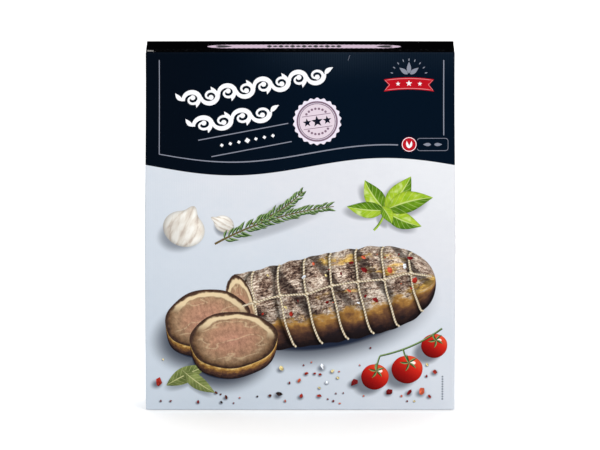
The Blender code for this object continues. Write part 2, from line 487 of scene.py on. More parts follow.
header = dict(
    foot=196.8,                # height of the header's edge at the side panels
    swing=6.8,                 # how far the edge swings down and up
    dip=1.2,
    ruleGap=10.6,              # the frame line runs this far above the header's edge
    navyLeft=srgb(0, 7, 19),
    navyRight=srgb(0, 14, 30),
    # rubbed ink along the upper crease, also a painted highlight of the fold
    navyRubbedAndGlint=srgb(38, 42, 49),
    lidBlack=srgb(3, 3, 4),
    lidRubbed=srgb(44, 44, 46),
    sheen=srgb(25, 37, 50),    # painted sheen: a reflection of light below the upper crease
    sheenDrop=48.0,            # how far down, and how fast it fades
    sheenCurve=3.1,
    sheenLeft=(-60.0, 36.0),   # where it starts and where it is full, coming from the left
    sheenRight=(100.0, 25.0),  # the same coming from the right, where some of it stays
    sheenStays=0.45,
    rubbedDrop=0.7,            # the rubbed line lies this far below the crease
    rubbedWidth=(1.1, 0.1),    # half widths of its soft edge and of its core
)

field = dict(
    tones=[(0.0, srgb(195, 205, 216)), (0.4, srgb(207, 214, 223)), (0.7, srgb(219, 221, 227)),
           (1.0, srgb(230, 232, 236))],
    across=2.06,               # how much lighter per metre to the right, and per metre up
    up=3.5,
    upLow=1.25,                # up to the knee it brightens less
    knee=75 * mm,
    level=0.07,                # tone at the knee, halfway across
    shadow=srgb(30, 38, 56),
    smallShadow=srgb(36, 46, 66),
)

casts = []                     # soft shadows on the ground: centre, half sizes, tilt, depth, core


def castShadow(art):
    # soft shadows that the pictured things throw down and to the left, on the front alone
    total = 0.0
    for (cx, cz), (rx, rz), tilt, depth, core in casts:
        cos, sin = math.cos(math.radians(tilt)), math.sin(math.radians(tilt))
        dx, dz = art.x - cx * mm, art.z - cz * mm
        long = (dx * cos + dz * sin) / (rx * mm)
        short = (dz * cos - dx * sin) / (rz * mm)
        total = calc("MAXIMUM", total, fade(long * long + short * short, 1.0, core) * depth)
    return total * fade(art.y, 0, -0.5 * halfDepth)


def headerEdge(x):
    turn = 2 * math.pi * (0.5 + x * mm / (2 * halfWidth))
    return header["foot"] - header["swing"] * math.sin(turn) - header["dip"] * (1 - math.cos(turn))


def paintField(art):
    # pale stone-like ground of the picture, lit from the upper right
    rise = art.z - field["knee"]
    slope = calc("MAXIMUM", rise, 0.0) * field["up"] + calc("MINIMUM", rise, 0.0) * field["upLow"]
    mottle = grain(art.place, 22, 4.0, 0.6) * 0.3
    fine = grain(art.place, 240, 3.0, 0.6, stretch=(0.6, 1.0, 1.0)) * 0.16
    tone = slope + art.x * field["across"] + mottle + fine + field["level"]
    return mixColour(castShadow(art), ramp(tone, field["tones"]), field["shadow"])


def paintBoard(art):
    # the same edge as headerEdge gives, mirrored on the back so that it runs on round the sides
    x, z = art.x, art.z
    turn = x * calc("SIGN", art.y) * (-math.pi / halfWidth) + math.pi
    dip = (1.0 - calc("COSINE", turn)) * header["dip"]
    edge = header["foot"] - calc("SINE", turn) * header["swing"] - dip
    inHeader = fade(z - edge * mm, -0.1 * mm, 0.1 * mm)
    navy = mixColour(fade(x, -halfWidth, halfWidth * 0.4), header["navyLeft"], header["navyRight"])
    # painted sheen: a reflection of light below the upper crease, in ribs along the flutes, most right of
    # the middle
    ribs = calc("SINE", x * fluteTurn) * grain(art.place, 60, 1.0) * 0.34 + 0.62
    drop = fade(z, height - header["sheenDrop"] * mm, height - 2 * mm) ** header["sheenCurve"]
    stays = header["sheenStays"]
    across = fade(x / mm, *header["sheenLeft"]) * (fade(x / mm, *header["sheenRight"]) * (1 - stays) + stays)
    navy = mixColour(drop * across * ribs, navy, header["sheen"])
    # ink rubbed thin along the upper crease, and a painted highlight of the fold: strongest where the
    # painted sheen is
    fromLine = abs(z - (creaseHeight - header["rubbedDrop"] * mm))
    crease = fade(fromLine / mm, *header["rubbedWidth"])
    wear = crease * fade(grain(art.place, 900, 3.0, 0.7), 0.38, 0.62) * (across * 0.75 + 0.25)
    navy = mixColour(wear * 0.5, navy, header["navyRubbedAndGlint"])
    return mixColour(inHeader, paintField(art), navy)


def paintLid(art):
    # deep black, rubbed a little along its front fold and its ends
    end = fade(abs(art.x), halfWidth - 3 * mm, halfWidth)
    fold = fade(abs(art.y + (halfDepth - 0.9 * mm)), 1.2 * mm, 0.2 * mm)
    wear = calc("MAXIMUM", end, fold) * fade(grain(art.place, 700, 4.0, 0.7), 0.5, 0.68)
    return mixColour(wear * 0.35, header["lidBlack"], header["lidRubbed"])


board = foldCarton()
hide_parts("carton")
pieces = [board]
print("board folded:", len(board.data.polygons), "faces")


# Prints are built from flat patches. A patch is (points, faces, seed). A point is (a, b, u, v): a to
# the right and b up on its panel, u and v its place inside the patch, which the inks shade by.

def turned(x, y, degrees, centre=(0.0, 0.0)):
    # a place turned about the origin, then moved by centre
    cos, sin = math.cos(math.radians(degrees)), math.sin(math.radians(degrees))
    return centre[0] + x * cos - y * sin, centre[1] + x * sin + y * cos


def along(place, heading, distance):
    return turned(distance, 0.0, heading, place)


def headingOf(run):
    return math.degrees(math.atan2(run.y, run.x))


def gridFaces(rows, columns):
    # faces of a grid whose points run column by column within each row
    step = columns + 1
    corners = [row * step + column for row in range(rows) for column in range(columns)]
    return [(corner, corner + step, corner + step + 1, corner + 1) for corner in corners]


def discPatch(centre, radii, tilt=0.0, rings=3, sectors=28, edge=None, seed=0.0):
    # round or nearly round; edge(angle) scales the rim, u and v run to 1 at the rim
    points = [(centre[0], centre[1], 0.0, 0.0)]
    for away in range(1, rings + 1):
        for sector in range(sectors):
            angle = 2 * math.pi * sector / sectors
            u, v = away / rings * math.cos(angle), away / rings * math.sin(angle)
            reach = edge(angle) if edge else 1.0
            points.append((*turned(radii[0] * reach * u, radii[1] * reach * v, tilt, centre), u, v))
    faces = [(0, 1 + sector, 1 + (sector + 1) % sectors) for sector in range(sectors)]
    for away in range(rings - 1):
        inner, outer = 1 + away * sectors, 1 + (away + 1) * sectors
        for sector in range(sectors):
            following = (sector + 1) % sectors
            faces.append((inner + sector, outer + sector, outer + following, inner + following))
    return points, faces, seed


def ribbonPatch(path, width, columns=2, seed=0.0, closed=False):
    # a band along a path; width(t) is its full width at a share t of the path
    count = len(path)
    points = []
    for index, (a, b) in enumerate(path):
        before = path[(index - 1) % count] if closed else path[max(index - 1, 0)]
        after = path[(index + 1) % count] if closed else path[min(index + 1, count - 1)]
        ahead = Vector((after[0] - before[0], after[1] - before[1])).normalized()
        t = index / (count if closed else count - 1)
        half = (width(t) if callable(width) else width) / 2
        for column in range(columns + 1):
            v = 2 * column / columns - 1
            points.append((a - ahead.y * half * v, b + ahead.x * half * v, t, v))
    faces = gridFaces(count if closed else count - 1, columns)
    if closed:
        faces = [tuple(corner % len(points) for corner in face) for face in faces]
    return points, faces, seed


def leafPatch(base, tip, width, bend=0.0, rows=12, columns=4, fullness=0.76, seed=0.0):
    # pointed at both ends, widest nearer its base where fullness is under 1
    start, run = Vector(base), Vector(tip) - Vector(base)
    across = Vector((-run.y, run.x)).normalized()
    points = [(start.x, start.y, 0.0, 0.0)]
    for row in range(1, rows):
        t = row / rows
        middle = start + run * t + across * bend * 4 * t * (1 - t)
        half = width / 2 * math.sin(math.pi * t ** fullness)
        for column in range(columns + 1):
            v = 2 * column / columns - 1
            points.append((*(middle + across * half * v), t, v))
    points.append((tip[0], tip[1], 1.0, 0.0))
    last = len(points) - 1
    first = last - columns - 1
    faces = [(0, 1 + column, 2 + column) for column in range(columns)]
    faces += [tuple(corner + 1 for corner in face) for face in gridFaces(rows - 2, columns)]
    faces += [(last, first + column + 1, first + column) for column in range(columns)]
    return points, faces, seed


def shapePatch(outline, spacing=6.0):
    # any outline, filled with a light grid so that it follows the panel's bulge; u, v over its box
    lowA, highA = min(a for a, _ in outline), max(a for a, _ in outline)
    lowB, highB = min(b for _, b in outline), max(b for _, b in outline)
    places = [Vector(point) for point in outline]
    for column in range(1, int((highA - lowA) / spacing) + 1):
        for row in range(1, int((highB - lowB) / spacing) + 1):
            places.append(Vector((lowA + column * spacing, lowB + row * spacing)))
    found = geometry.delaunay_2d_cdt(places, [], [list(range(len(outline)))], 1, 1e-4)
    spanA, spanB = highA - lowA, highB - lowB
    points = [(place.x, place.y, 2 * (place.x - lowA) / spanA - 1, 2 * (place.y - lowB) / spanB - 1)
              for place in found[0]]
    return points, [tuple(face) for face in found[2]], 0.0


def diamond(centre, half, tilt=0.0):
    corners = ((half, 0), (0, half), (-half, 0), (0, -half))
    return shapePatch([turned(x, y, tilt, centre) for x, y in corners])


def curve(start, end, bend=0.0, steps=12):
    # from start to end, its middle pushed aside by bend
    start, end = Vector(start), Vector(end)
    across = Vector((start.y - end.y, end.x - start.x)).normalized()
    shares = [step / steps for step in range(steps + 1)]
    return [tuple(start.lerp(end, t) + across * (bend * 4 * t * (1 - t))) for t in shares]


def rule(start, end, width, steps=12):
    return ribbonPatch(curve(start, end, 0, steps), width)


def ring(centre, radius, width, steps=72):
    return ribbonPatch(arc(centre, radius, 0, 360, steps)[:-1], width, closed=True)


def roundBox(cx, cz, wide, tall, corner, spacing=6):
    # outline of a box with round corners, with points along its straight sides
    outline = roundOutline(cx - wide / 2, cx + wide / 2, cz - tall / 2, cz + tall / 2, corner, 6)
    points = []
    for point, following in zip(outline, outline[1:] + outline[:1]):
        count = max(round(math.dist(point, following) / spacing), 1)
        points += [tuple(Vector(point).lerp(Vector(following), step / count)) for step in range(count)]
    return points


def onFront(a, b, lift):
    return Vector((a, -halfDepth - lift, b))


def onBack(a, b, lift):
    return Vector((-a, halfDepth + lift, b))


def onLid(a, b, lift):
    return Vector((a, b, height + lift))


def onRight(a, b, lift):
    return Vector((halfWidth + lift, a, b))


def onLeft(a, b, lift):
    return Vector((-halfWidth - lift, -a, b))


film = dict(
    lift=0.03 * mm,            # how far the lowest film stands proud of the board
    layer=0.018 * mm,          # each further layer
    sunk=0.03 * mm,            # the underside, inside the board
    creep=0.004 * mm,          # keeps patches of one piece from lying in one plane
    climb=2.5,                 # the most layers that the patches of one piece rise together
)


def printPiece(name, patches, material, place=onFront, layer=0):
    # patches of one ink as thin closed slabs, joined into one piece
    bm = bmesh.new()
    local = bm.verts.layers.float_vector.new("local")
    creep = min(film["creep"], film["climb"] * film["layer"] / len(patches))
    for index, (points, faces, seed) in enumerate(patches):
        decks = []
        for level in (film["lift"] + layer * film["layer"] + index * creep, -film["sunk"]):
            deck = []
            for a, b, u, v in points:
                vert = bm.verts.new(settle(place(a * mm, b * mm, level)))
                vert[local] = (u, v, seed)
                deck.append(vert)
            decks.append(deck)
        upper, lower = decks
        # every face turns the same way round; an edge that only one face has gets a rim
        rims = {}
        for face in faces:
            corners = [points[k] for k in face]
            area = sum(a[0] * b[1] - b[0] * a[1] for a, b in zip(corners[-1:] + corners, corners))
            face = face if area > 0 else face[::-1]
            bm.faces.new([upper[k] for k in face])
            bm.faces.new([lower[k] for k in face[::-1]])
            rims.update(dict.fromkeys(zip(face[-1:] + face, face)))
        for first, second in rims:
            if (second, first) not in rims:
                bm.faces.new((upper[second], upper[first], lower[first], lower[second]))
    for face in bm.faces:
        face.smooth = True
    piece = fromBmesh(name, bm)
    piece.data.set_sharp_from_angle(angle=math.radians(carton["sharpAngle"]))
    piece.data.materials.append(material)
    pieces.append(piece)


def plainInk(name, colour, mottle=0.06):
    def paint(art):
        return shaded(colour[:3], grain(art.place, 300, 3.0, 0.6) * (2 * mottle) + (1 - mottle))
    return inkMaterial(name, paint)


lineInk = plainInk("lineInk", srgb(134, 138, 152))
whiteInk = plainInk("whiteInk", srgb(243, 243, 246), 0.02)

frameLine = dict(
    left=-109.4,
    right=111.5,
    top=280.0,
    width=0.95,
    thin=0.68,                 # the printed line is finer at the left
    rightWidth=0.817,
    sweepEnd=76.0,             # the sweep stops short of the mark at the right
    rightFoot=220.5,
)


def sweepPath(start, end, steps=72):
    places = [start + (end - start) * step / steps for step in range(steps + 1)]
    return [(x, headerEdge(x) + header["ruleGap"]) for x in places]


def addFrameLine():
    # each run is a band of its own, so that the corners stay square
    left, right, top = frameLine["left"], frameLine["right"], frameLine["top"]
    thin, width = frameLine["thin"], frameLine["width"]
    sweep = sweepPath(left, frameLine["sweepEnd"])
    patches = [
        ribbonPatch(sweep, lambda t: thin + (width - thin) * min(3 * t, 1)),
        rule((left, top), sweep[0], thin, 16),
        rule((right, top), (right, frameLine["rightFoot"]), frameLine["rightWidth"]),
    ]
    printPiece("frameLine", patches, lineInk)
    sweep = sweepPath(left, right)
    patches = [ribbonPatch(sweep, width)]
    patches += [rule((x, top), foot, width, 16) for x, foot in ((left, sweep[0]), (right, sweep[-1]))]
    printPiece("backFrameLine", patches, lineInk, onBack)


scroll = dict(
    rows=[((-91, 247.6), (19, 269.0), 8), ((-83, 227.4), (-23, 239.2), 4)],    # start, end, curls
    height=6.4,                # half the height of the wave
    stem=2.1,
    stemSteps=20,              # for each half wave
    curl=2.9,                  # width of a curl where it leaves the stem
    thinning=0.55,             # how much of that is gone at its eye
    curlSteps=44,
    eye=0.22,                  # how near the middle a curl winds
    tighten=0.8,               # under 1 it stays wide for longer
    drift=0.6,                 # how far its eye lies past the middle
    flatten=0.92,
    ball=2.0,
    turns=1.28,
    leaf=(-4.8, 7.2, 3.4),     # a side leaf's tip from its node, and its width
    lastLeaf=(7.5, 4.0, 3.6),
)


def scrollPatches(start, end, curls):
    # a vine in half waves; inside each a branch winds into a ball, and a small leaf springs from each node
    start, end = Vector(start), Vector(end)
    run = (end - start).normalized()
    across = Vector((-run.y, run.x))
    pitch = (end - start).length / curls
    tall, steps, curlSteps = scroll["height"], scroll["stemSteps"], scroll["curlSteps"]

    def place(s, t):
        return tuple(start + run * s + across * t)

    stem, patches = [], []
    for k in range(curls):
        side = 1 if k % 2 == 0 else -1
        middle = (k + 0.5) * pitch
        for step in range(steps + (k == curls - 1)):
            angle = math.pi * (1 - step / steps)
            stem.append(place(middle + pitch / 2 * math.cos(angle), side * tall * math.sin(angle)))
        branch = []
        for step in range(curlSteps + 1):
            share = step / curlSteps
            angle = math.pi - share * scroll["turns"] * 2 * math.pi
            reach = scroll["eye"] + (1 - scroll["eye"]) * (1 - share) ** scroll["tighten"]
            branch.append(place(middle + scroll["drift"] * share + pitch / 2 * reach * math.cos(angle),
                                side * tall * reach * math.sin(angle) * scroll["flatten"]))
        patches.append(ribbonPatch(branch, lambda t: scroll["curl"] * (1 - scroll["thinning"] * t)))
        patches.append(discPatch(branch[-1], (scroll["ball"],) * 2, rings=2, sectors=20))
        s, t, width = scroll["leaf"]
        tip = place(k * pitch + s, side * t)
        patches.append(leafPatch(place(k * pitch, 0.0), tip, width, side * 0.6, fullness=0.9))
    patches.append(ribbonPatch(stem, scroll["stem"]))
    s, t, width = scroll["lastLeaf"]
    patches.append(leafPatch(stem[-1], place(curls * pitch + s, -side * t), width, -side * 0.7))
    return patches


def addScrolls():
    patches = []
    for row in scroll["rows"]:
        patches += scrollPatches(*row)
    printPiece("headerScrolls", patches, whiteInk)


tiltedRules = dict(
    ends=[((-79.2, 216.6), (-9.3, 230.1)), ((-68.9, 203.6), (-6.6, 215.7))],
    width=0.75,
    diamonds=(1.5, 1.5, 1.5, 2.25, 1.5, 1.5, 1.5),             # half sizes, between the two rules
    span=(0.2, 0.8),           # the first and the last one, by share of the rules' length
    diamondTilt=11,
    scuff=((38.6, 284.0), (37.2, 279.6)),      # a light scratch below the crease
    scuffWidth=0.22,
)


def addTiltedRules():
    (upperStart, upperEnd), (lowerStart, lowerEnd) = tiltedRules["ends"]
    patches = [rule(start, end, tiltedRules["width"]) for start, end in tiltedRules["ends"]]
    patches.append(rule(*tiltedRules["scuff"], tiltedRules["scuffWidth"], 3))
    printPiece("headerRules", patches, lineInk)
    start, end = Vector(upperStart).lerp(lowerStart, 0.5), Vector(upperEnd).lerp(lowerEnd, 0.5)
    marks = []
    for index, size in enumerate(tiltedRules["diamonds"]):
        share = between(tiltedRules["span"], index / (len(tiltedRules["diamonds"]) - 1))
        marks.append(diamond(start.lerp(end, share), size, tiltedRules["diamondTilt"]))
    printPiece("headerDiamonds", marks, whiteInk)


starDent = 0.42                # how far in a star's dents lie


def starEdge(angle):
    # five straight-sided points: where the ray at this angle meets the side from a tip to a dent
    turn = math.pi / 5
    share = abs(angle / (2 * turn) % 1 - 0.5) * 2
    away = turn * (1 - share)
    dx, dy = starDent * math.cos(turn) - 1, starDent * math.sin(turn)
    return dy / (math.cos(away) * dy - math.sin(away) * dx)


def star(centre, size, tilt):
    return discPatch(centre, (size, size), tilt, 2, 50, starEdge)


seal = dict(
    centre=(13.2, 231.6),
    tip=18.9,
    valley=17.6,
    ring=14.0,
    scallops=22,
    rim=srgb(232, 224, 237),
    disc=srgb(222, 207, 218),
    line=srgb(128, 104, 122),
    emblem=srgb(14, 18, 34),
    tilt=8,
    rings=((0.0, 0.6), (1.35, 1.3)),           # distance outside the ring, width
    bars=(0.36, -0.36),        # two level lines: place and half length by share of the ring
    barReach=0.80,
    barWidth=0.45,
    beads=(42, 222),           # where the two rows of seven beads start, in degrees
    beadSpan=96,               # how far each row runs
    beadRing=0.72,             # by share of the ring
    beadSize=0.95,
    stars=((-0.56, 3.5), (0, 4.6), (0.56, 3.5)),               # place by share of the ring, and size
)


def addSeal():
    centre, radius, tilt = seal["centre"], seal["ring"], seal["tilt"]
    deep = 1 - seal["valley"] / seal["tip"]

    def scallop(angle):
        return 1 - deep * (0.5 - 0.5 * math.cos(seal["scallops"] * angle))

    rim = discPatch(centre, (seal["tip"],) * 2, tilt, 4, seal["scallops"] * 8, scallop)
    printPiece("sealRim", [rim], plainInk("sealRimInk", seal["rim"], 0.03))
    disc = discPatch(centre, (radius, radius), 0, 4, 64)
    printPiece("sealDisc", [disc], plainInk("sealDiscInk", seal["disc"], 0.03), layer=1)
    lines = [ring(centre, radius + gap, wide) for gap, wide in seal["rings"]]
    for share in seal["bars"]:
        ends = [turned(side * seal["barReach"] * radius, share * radius, tilt, centre) for side in (-1, 1)]
        lines.append(rule(*ends, seal["barWidth"], 8))
    for start in seal["beads"]:
        for bead in arc((0, 0), seal["beadRing"] * radius, start, start + seal["beadSpan"], 6):
            spot = turned(*bead, tilt, centre)
            lines.append(discPatch(spot, (seal["beadSize"],) * 2, rings=1, sectors=12))
    printPiece("sealRings", lines, plainInk("sealLineInk", seal["line"]), layer=2)
    stars = [star(turned(share * radius, 0, tilt, centre), size, tilt + 18) for share, size in seal["stars"]]
    printPiece("sealStars", stars, plainInk("sealStarInk", seal["emblem"]), layer=2)


ribbon = dict(
    centre=(84.5, 260.8),
    half=(19.5, 4.8),
    notch=3.6,
    arch=1.6,
    red=srgb(182, 16, 30),
    pale=srgb(226, 132, 138),
    inset=0.9,                 # from its edge to the pale line
    line=0.5,
    stars=((-8.5, 1.9), (0, 2.5), (8.5, 1.9)),                 # place and size
    leaves=((-52, 9.5), (0, 10.5), (52, 9.5)),                 # lean and length of the leaves above it
    leafFoot=2.6,              # height above the ribbon where they meet
    leafWidth=3.4,
    rays=9,
    rayFoot=1.0,
    rayLean=(14, 19),          # the first one's lean, and the step to the next
    ray=(12.6, 15.0, 0.9),     # inner and outer end, width
)


def addRibbon():
    cx, cz = ribbon["centre"]
    hx, hz = ribbon["half"]

    def bent(x, z):
        return cx + x, cz + z + ribbon["arch"] * (1 - (x / hx) ** 2) - ribbon["arch"] / 2

    def outline(trim):
        wide, tall = hx - trim, hz - trim
        notch = wide - ribbon["notch"]
        places = [wide - 2 * wide * k / 10 for k in range(11)]
        top, bottom = [bent(x, tall) for x in places], [bent(-x, -tall) for x in places]
        return top + [bent(-notch, 0)] + bottom + [bent(notch, 0)]

    printPiece("markRibbon", [shapePatch(outline(0))], plainInk("ribbonInk", ribbon["red"], 0.05))
    stroke = ribbonPatch(outline(ribbon["inset"]), ribbon["line"], closed=True)
    printPiece("markRibbonLine", [stroke], plainInk("ribbonLineInk", ribbon["pale"]), layer=1)
    printPiece("markStars", [star(bent(x, 0), size, 18) for x, size in ribbon["stars"]], whiteInk, layer=1)
    foot, hub = Vector((cx, cz + hz + ribbon["leafFoot"])), (cx, cz + hz + ribbon["rayFoot"])
    leaves = []
    for lean, length in ribbon["leaves"]:
        tip = Vector(turned(0, length, lean))
        leaves.append(leafPatch(foot + tip * 0.12, foot + tip, ribbon["leafWidth"]))
    (first, step), (near, far, width) = ribbon["rayLean"], ribbon["ray"]
    for index in range(ribbon["rays"]):
        lean = first + step * index
        leaves.append(leafPatch(along(hub, lean, near), along(hub, lean, far), width, rows=4, columns=2))
    printPiece("markLeaves", leaves, lineInk)


roundel = dict(
    centre=(84.6, 213.3),
    radius=5.9,
    ground=1.3,                # dark margin round it
    red=srgb(182, 20, 34),
    line=0.5,                  # width of the white ring inside it
    leafFoot=(0, -3.0),
    leafTip=(1.9, 2.9),
    leafWidth=2.0,
    tab=(102.8, 213.2, 24.0, 9.8),             # the outlined tab beside it: centre x and z, width and height
    tabCorner=2.2,
    tabLine=0.4,
    tabLeaf=(1.2, 7.5, 2.6),   # foot and tip from the tab's middle, width
)


def addRoundel():
    centre, radius, line = Vector(roundel["centre"]), roundel["radius"], roundel["line"]
    groundInk = plainInk("roundelGroundInk", header["navyRight"])
    redInk = plainInk("roundelInk", roundel["red"], 0.05)
    discs = (("roundelGround", radius + roundel["ground"], groundInk), ("roundelDisc", radius, redInk))
    for layer, (name, size, ink) in enumerate(discs, 1):
        printPiece(name, [discPatch(centre, (size, size), 0, 3, 40)], ink, layer=layer)
    foot, (right, up) = centre + Vector(roundel["leafFoot"]), roundel["leafTip"]
    white = [ring(centre, radius - line, line, 48)]
    white += [leafPatch(foot, centre + Vector((side * right, up)), roundel["leafWidth"], -side * 0.5)
              for side in (-1, 1)]
    printPiece("roundelLeaves", white, whiteInk, layer=3)
    (x, z), (near, far, width) = roundel["tab"][:2], roundel["tabLeaf"]
    tab = [ribbonPatch(roundBox(*roundel["tab"], roundel["tabCorner"]), roundel["tabLine"], closed=True)]
    tab += [leafPatch((x + side * near, z), (x + side * far, z), width) for side in (-1, 1)]
    printPiece("roundelTab", tab, lineInk)


lidStamp = dict(
    left=-72.2,
    right=78.4,
    middle=-9.0,
    half=6.8,
    point=17.0,                # length of each pointed end
    pitch=3.8,
    scallop=0.75,
    colour=srgb(194, 172, 190),
    mark=srgb(18, 16, 24),
    marks=13,
    markPitch=4.5,
    markSize=(4.0, 9.4, 6.6),  # width, and the two heights in turn
    spray=(56, 13, 3.6, 4.4),  # start from the middle, length, spread and width of each end's leaves
)


def addLidStamp():
    left, right, level = lidStamp["left"], lidStamp["right"], lidStamp["middle"]
    steps = 240
    edge = []
    for step in range(steps + 1):
        x = right + (left - right) * step / steps
        fromEnd = min(x - left, right - x)
        body = math.sqrt(max(1 - (1 - min(fromEnd / lidStamp["point"], 1)) ** 2, 0))
        wave = 0.5 - 0.5 * math.cos(2 * math.pi * (x - left) / lidStamp["pitch"])
        edge.append((x, max((lidStamp["half"] - lidStamp["scallop"] * wave) * body, 0)))
    outline = [(x, level + half) for x, half in edge] + [(x, level - half) for x, half in edge[-2:0:-1]]
    stampInk = plainInk("lidStampInk", lidStamp["colour"], 0.04)
    printPiece("lidStamp", [shapePatch(outline, 4)], stampInk, onLid)
    middle = (left + right) / 2
    width, *heights = lidStamp["markSize"]
    marks = []
    for index in range(lidStamp["marks"]):
        offset = index - lidStamp["marks"] // 2
        x, half = middle + lidStamp["markPitch"] * offset, heights[offset % 2] / 2
        marks.append(leafPatch((x, level - half), (x, level + half), width, fullness=1.0))
    away, length, spread, width = lidStamp["spray"]
    for side in (-1, 1):
        for lean in (-1, 0, 1):
            start = middle + side * away
            tip = (start + side * length, level + lean * spread)
            marks.append(leafPatch((start, level), tip, width, fullness=1.0))
    printPiece("lidMarks", marks, plainInk("lidMarkInk", lidStamp["mark"]), onLid, layer=1)


backPanel = dict(
    label=(-52.0, 112.0, 92.0, 118.0),         # centre x and z, width and height
    table=(48.0, 118.0, 84.0, 106.0),
    rows=7,
    column=0.62,               # where the table's upright line stands
    bare=(48.0, 36.0, 56.0, 26.0),
    corners=(5.0, 1.0, 1.5),   # of the label, the table and the bare patch
    inset=2.0,                 # from the label's edge to its line
    line=0.6,
    thinLine=0.4,
    paper=srgb(247, 248, 250),
    navy=srgb(12, 26, 44),
    headerScroll=((-56, 247), (56, 247), 8),
    flourish=(20.0, 28.0, 4),  # distance from the label's ends, half length, curls
    diamonds=((-18, 1.7), (-9, 1.7), (0, 2.8), (9, 1.7), (18, 1.7)),           # place and half size
)


def addBackPanel():
    navyInk = plainInk("backInk", backPanel["navy"])
    labelCorner, tableCorner, bareCorner = backPanel["corners"]
    cx, cz, wide, tall = backPanel["label"]
    paper = [roundBox(cx, cz, wide, tall, labelCorner), roundBox(*backPanel["bare"], bareCorner)]
    paperInk = plainInk("backLabelInk", backPanel["paper"], 0.02)
    printPiece("backLabel", [shapePatch(outline) for outline in paper], paperInk, onBack)
    inset = backPanel["inset"]
    border = roundBox(cx, cz, wide - 2 * inset, tall - 2 * inset, labelCorner - inset)
    fromEnd, half, curls = backPanel["flourish"]
    flourish = []
    for z in (cz + tall / 2 - fromEnd, cz - tall / 2 + fromEnd):
        flourish += scrollPatches((cx - half, z), (cx + half, z), curls)
    flourish += [diamond((cx + place, cz), size) for place, size in backPanel["diamonds"]]
    cx, cz, wide, tall = backPanel["table"]
    boxes = (border, roundBox(cx, cz, wide, tall, tableCorner))
    lines = [ribbonPatch(box, backPanel["line"], closed=True) for box in boxes]
    left, top, step = cx - wide / 2, cz + tall / 2, tall / backPanel["rows"]
    for row in range(1, backPanel["rows"]):
        z = top - step * row
        lines.append(rule((left, z), (left + wide, z), backPanel["thinLine"]))
    x = left + wide * backPanel["column"]
    lines.append(rule((x, cz - tall / 2), (x, top - step), backPanel["thinLine"]))
    printPiece("backLines", lines, navyInk, onBack, layer=1)
    printPiece("backScrolls", flourish, navyInk, onBack, layer=2)
    printPiece("backHeaderScroll", scrollPatches(*backPanel["headerScroll"]), whiteInk, onBack)


sidePanel = dict(
    headerScroll=((0, 215), (0, 267), 4),
    frame=(0, 98, 26, 164),
    corner=2.0,
    scrolls=(((0, 30), (0, 74), 4), ((0, 166), (0, 122), 4)),
    diamonds=((90, 1.6), (98, 2.8), (106, 1.6)),
)


def addSidePanels():
    sideInk = plainInk("sideInk", backPanel["navy"])
    for name, place in (("right", onRight), ("left", onLeft)):
        printPiece(f"{name}HeaderScroll", scrollPatches(*sidePanel["headerScroll"]), whiteInk, place)
        frameBox = roundBox(*sidePanel["frame"], sidePanel["corner"])
        lines = [ribbonPatch(frameBox, backPanel["line"], closed=True)]
        lines += [diamond((0, z), size) for z, size in sidePanel["diamonds"]]
        for row in sidePanel["scrolls"]:
            lines += scrollPatches(*row)
        printPiece(f"{name}Lines", lines, sideInk, place)


addFrameLine()
addScrolls()
addTiltedRules()
addSeal()
addRibbon()
addRoundel()
addLidStamp()
addBackPanel()
addSidePanels()
print("header, lid, back and sides printed")


# The picture on the front: a tied roast with slices, leaves, garlic and tomatoes.

def patchPlace(art, size):
    # the patch's own coordinates in metres, so that fibres follow the food and not the panel
    inputs = {0: art.u * (size[0] * mm), 1: art.v * (size[1] * mm), 2: art.seed}
    return fromNode(art.place.tree, "ShaderNodeCombineXYZ", inputs)


def fromMiddle(art):
    return calc("SQRT", art.u * art.u + art.v * art.v)


def addShadow(centre, radii, tilt, depth, core=0.25):
    # core is the dark middle's share; 0 fades all the way
    casts.append((centre, radii, tilt, depth, core))


def wobble(seed, amount=0.03):
    # an uneven rim
    shift = [random.Random(seed + k).uniform(0, 6.28) for k in range(3)]

    def edge(angle):
        return 1 + amount * (math.sin(2 * angle + shift[0]) + 0.6 * math.sin(3 * angle + shift[1])
                             + 0.4 * math.sin(7 * angle + shift[2]))
    return edge


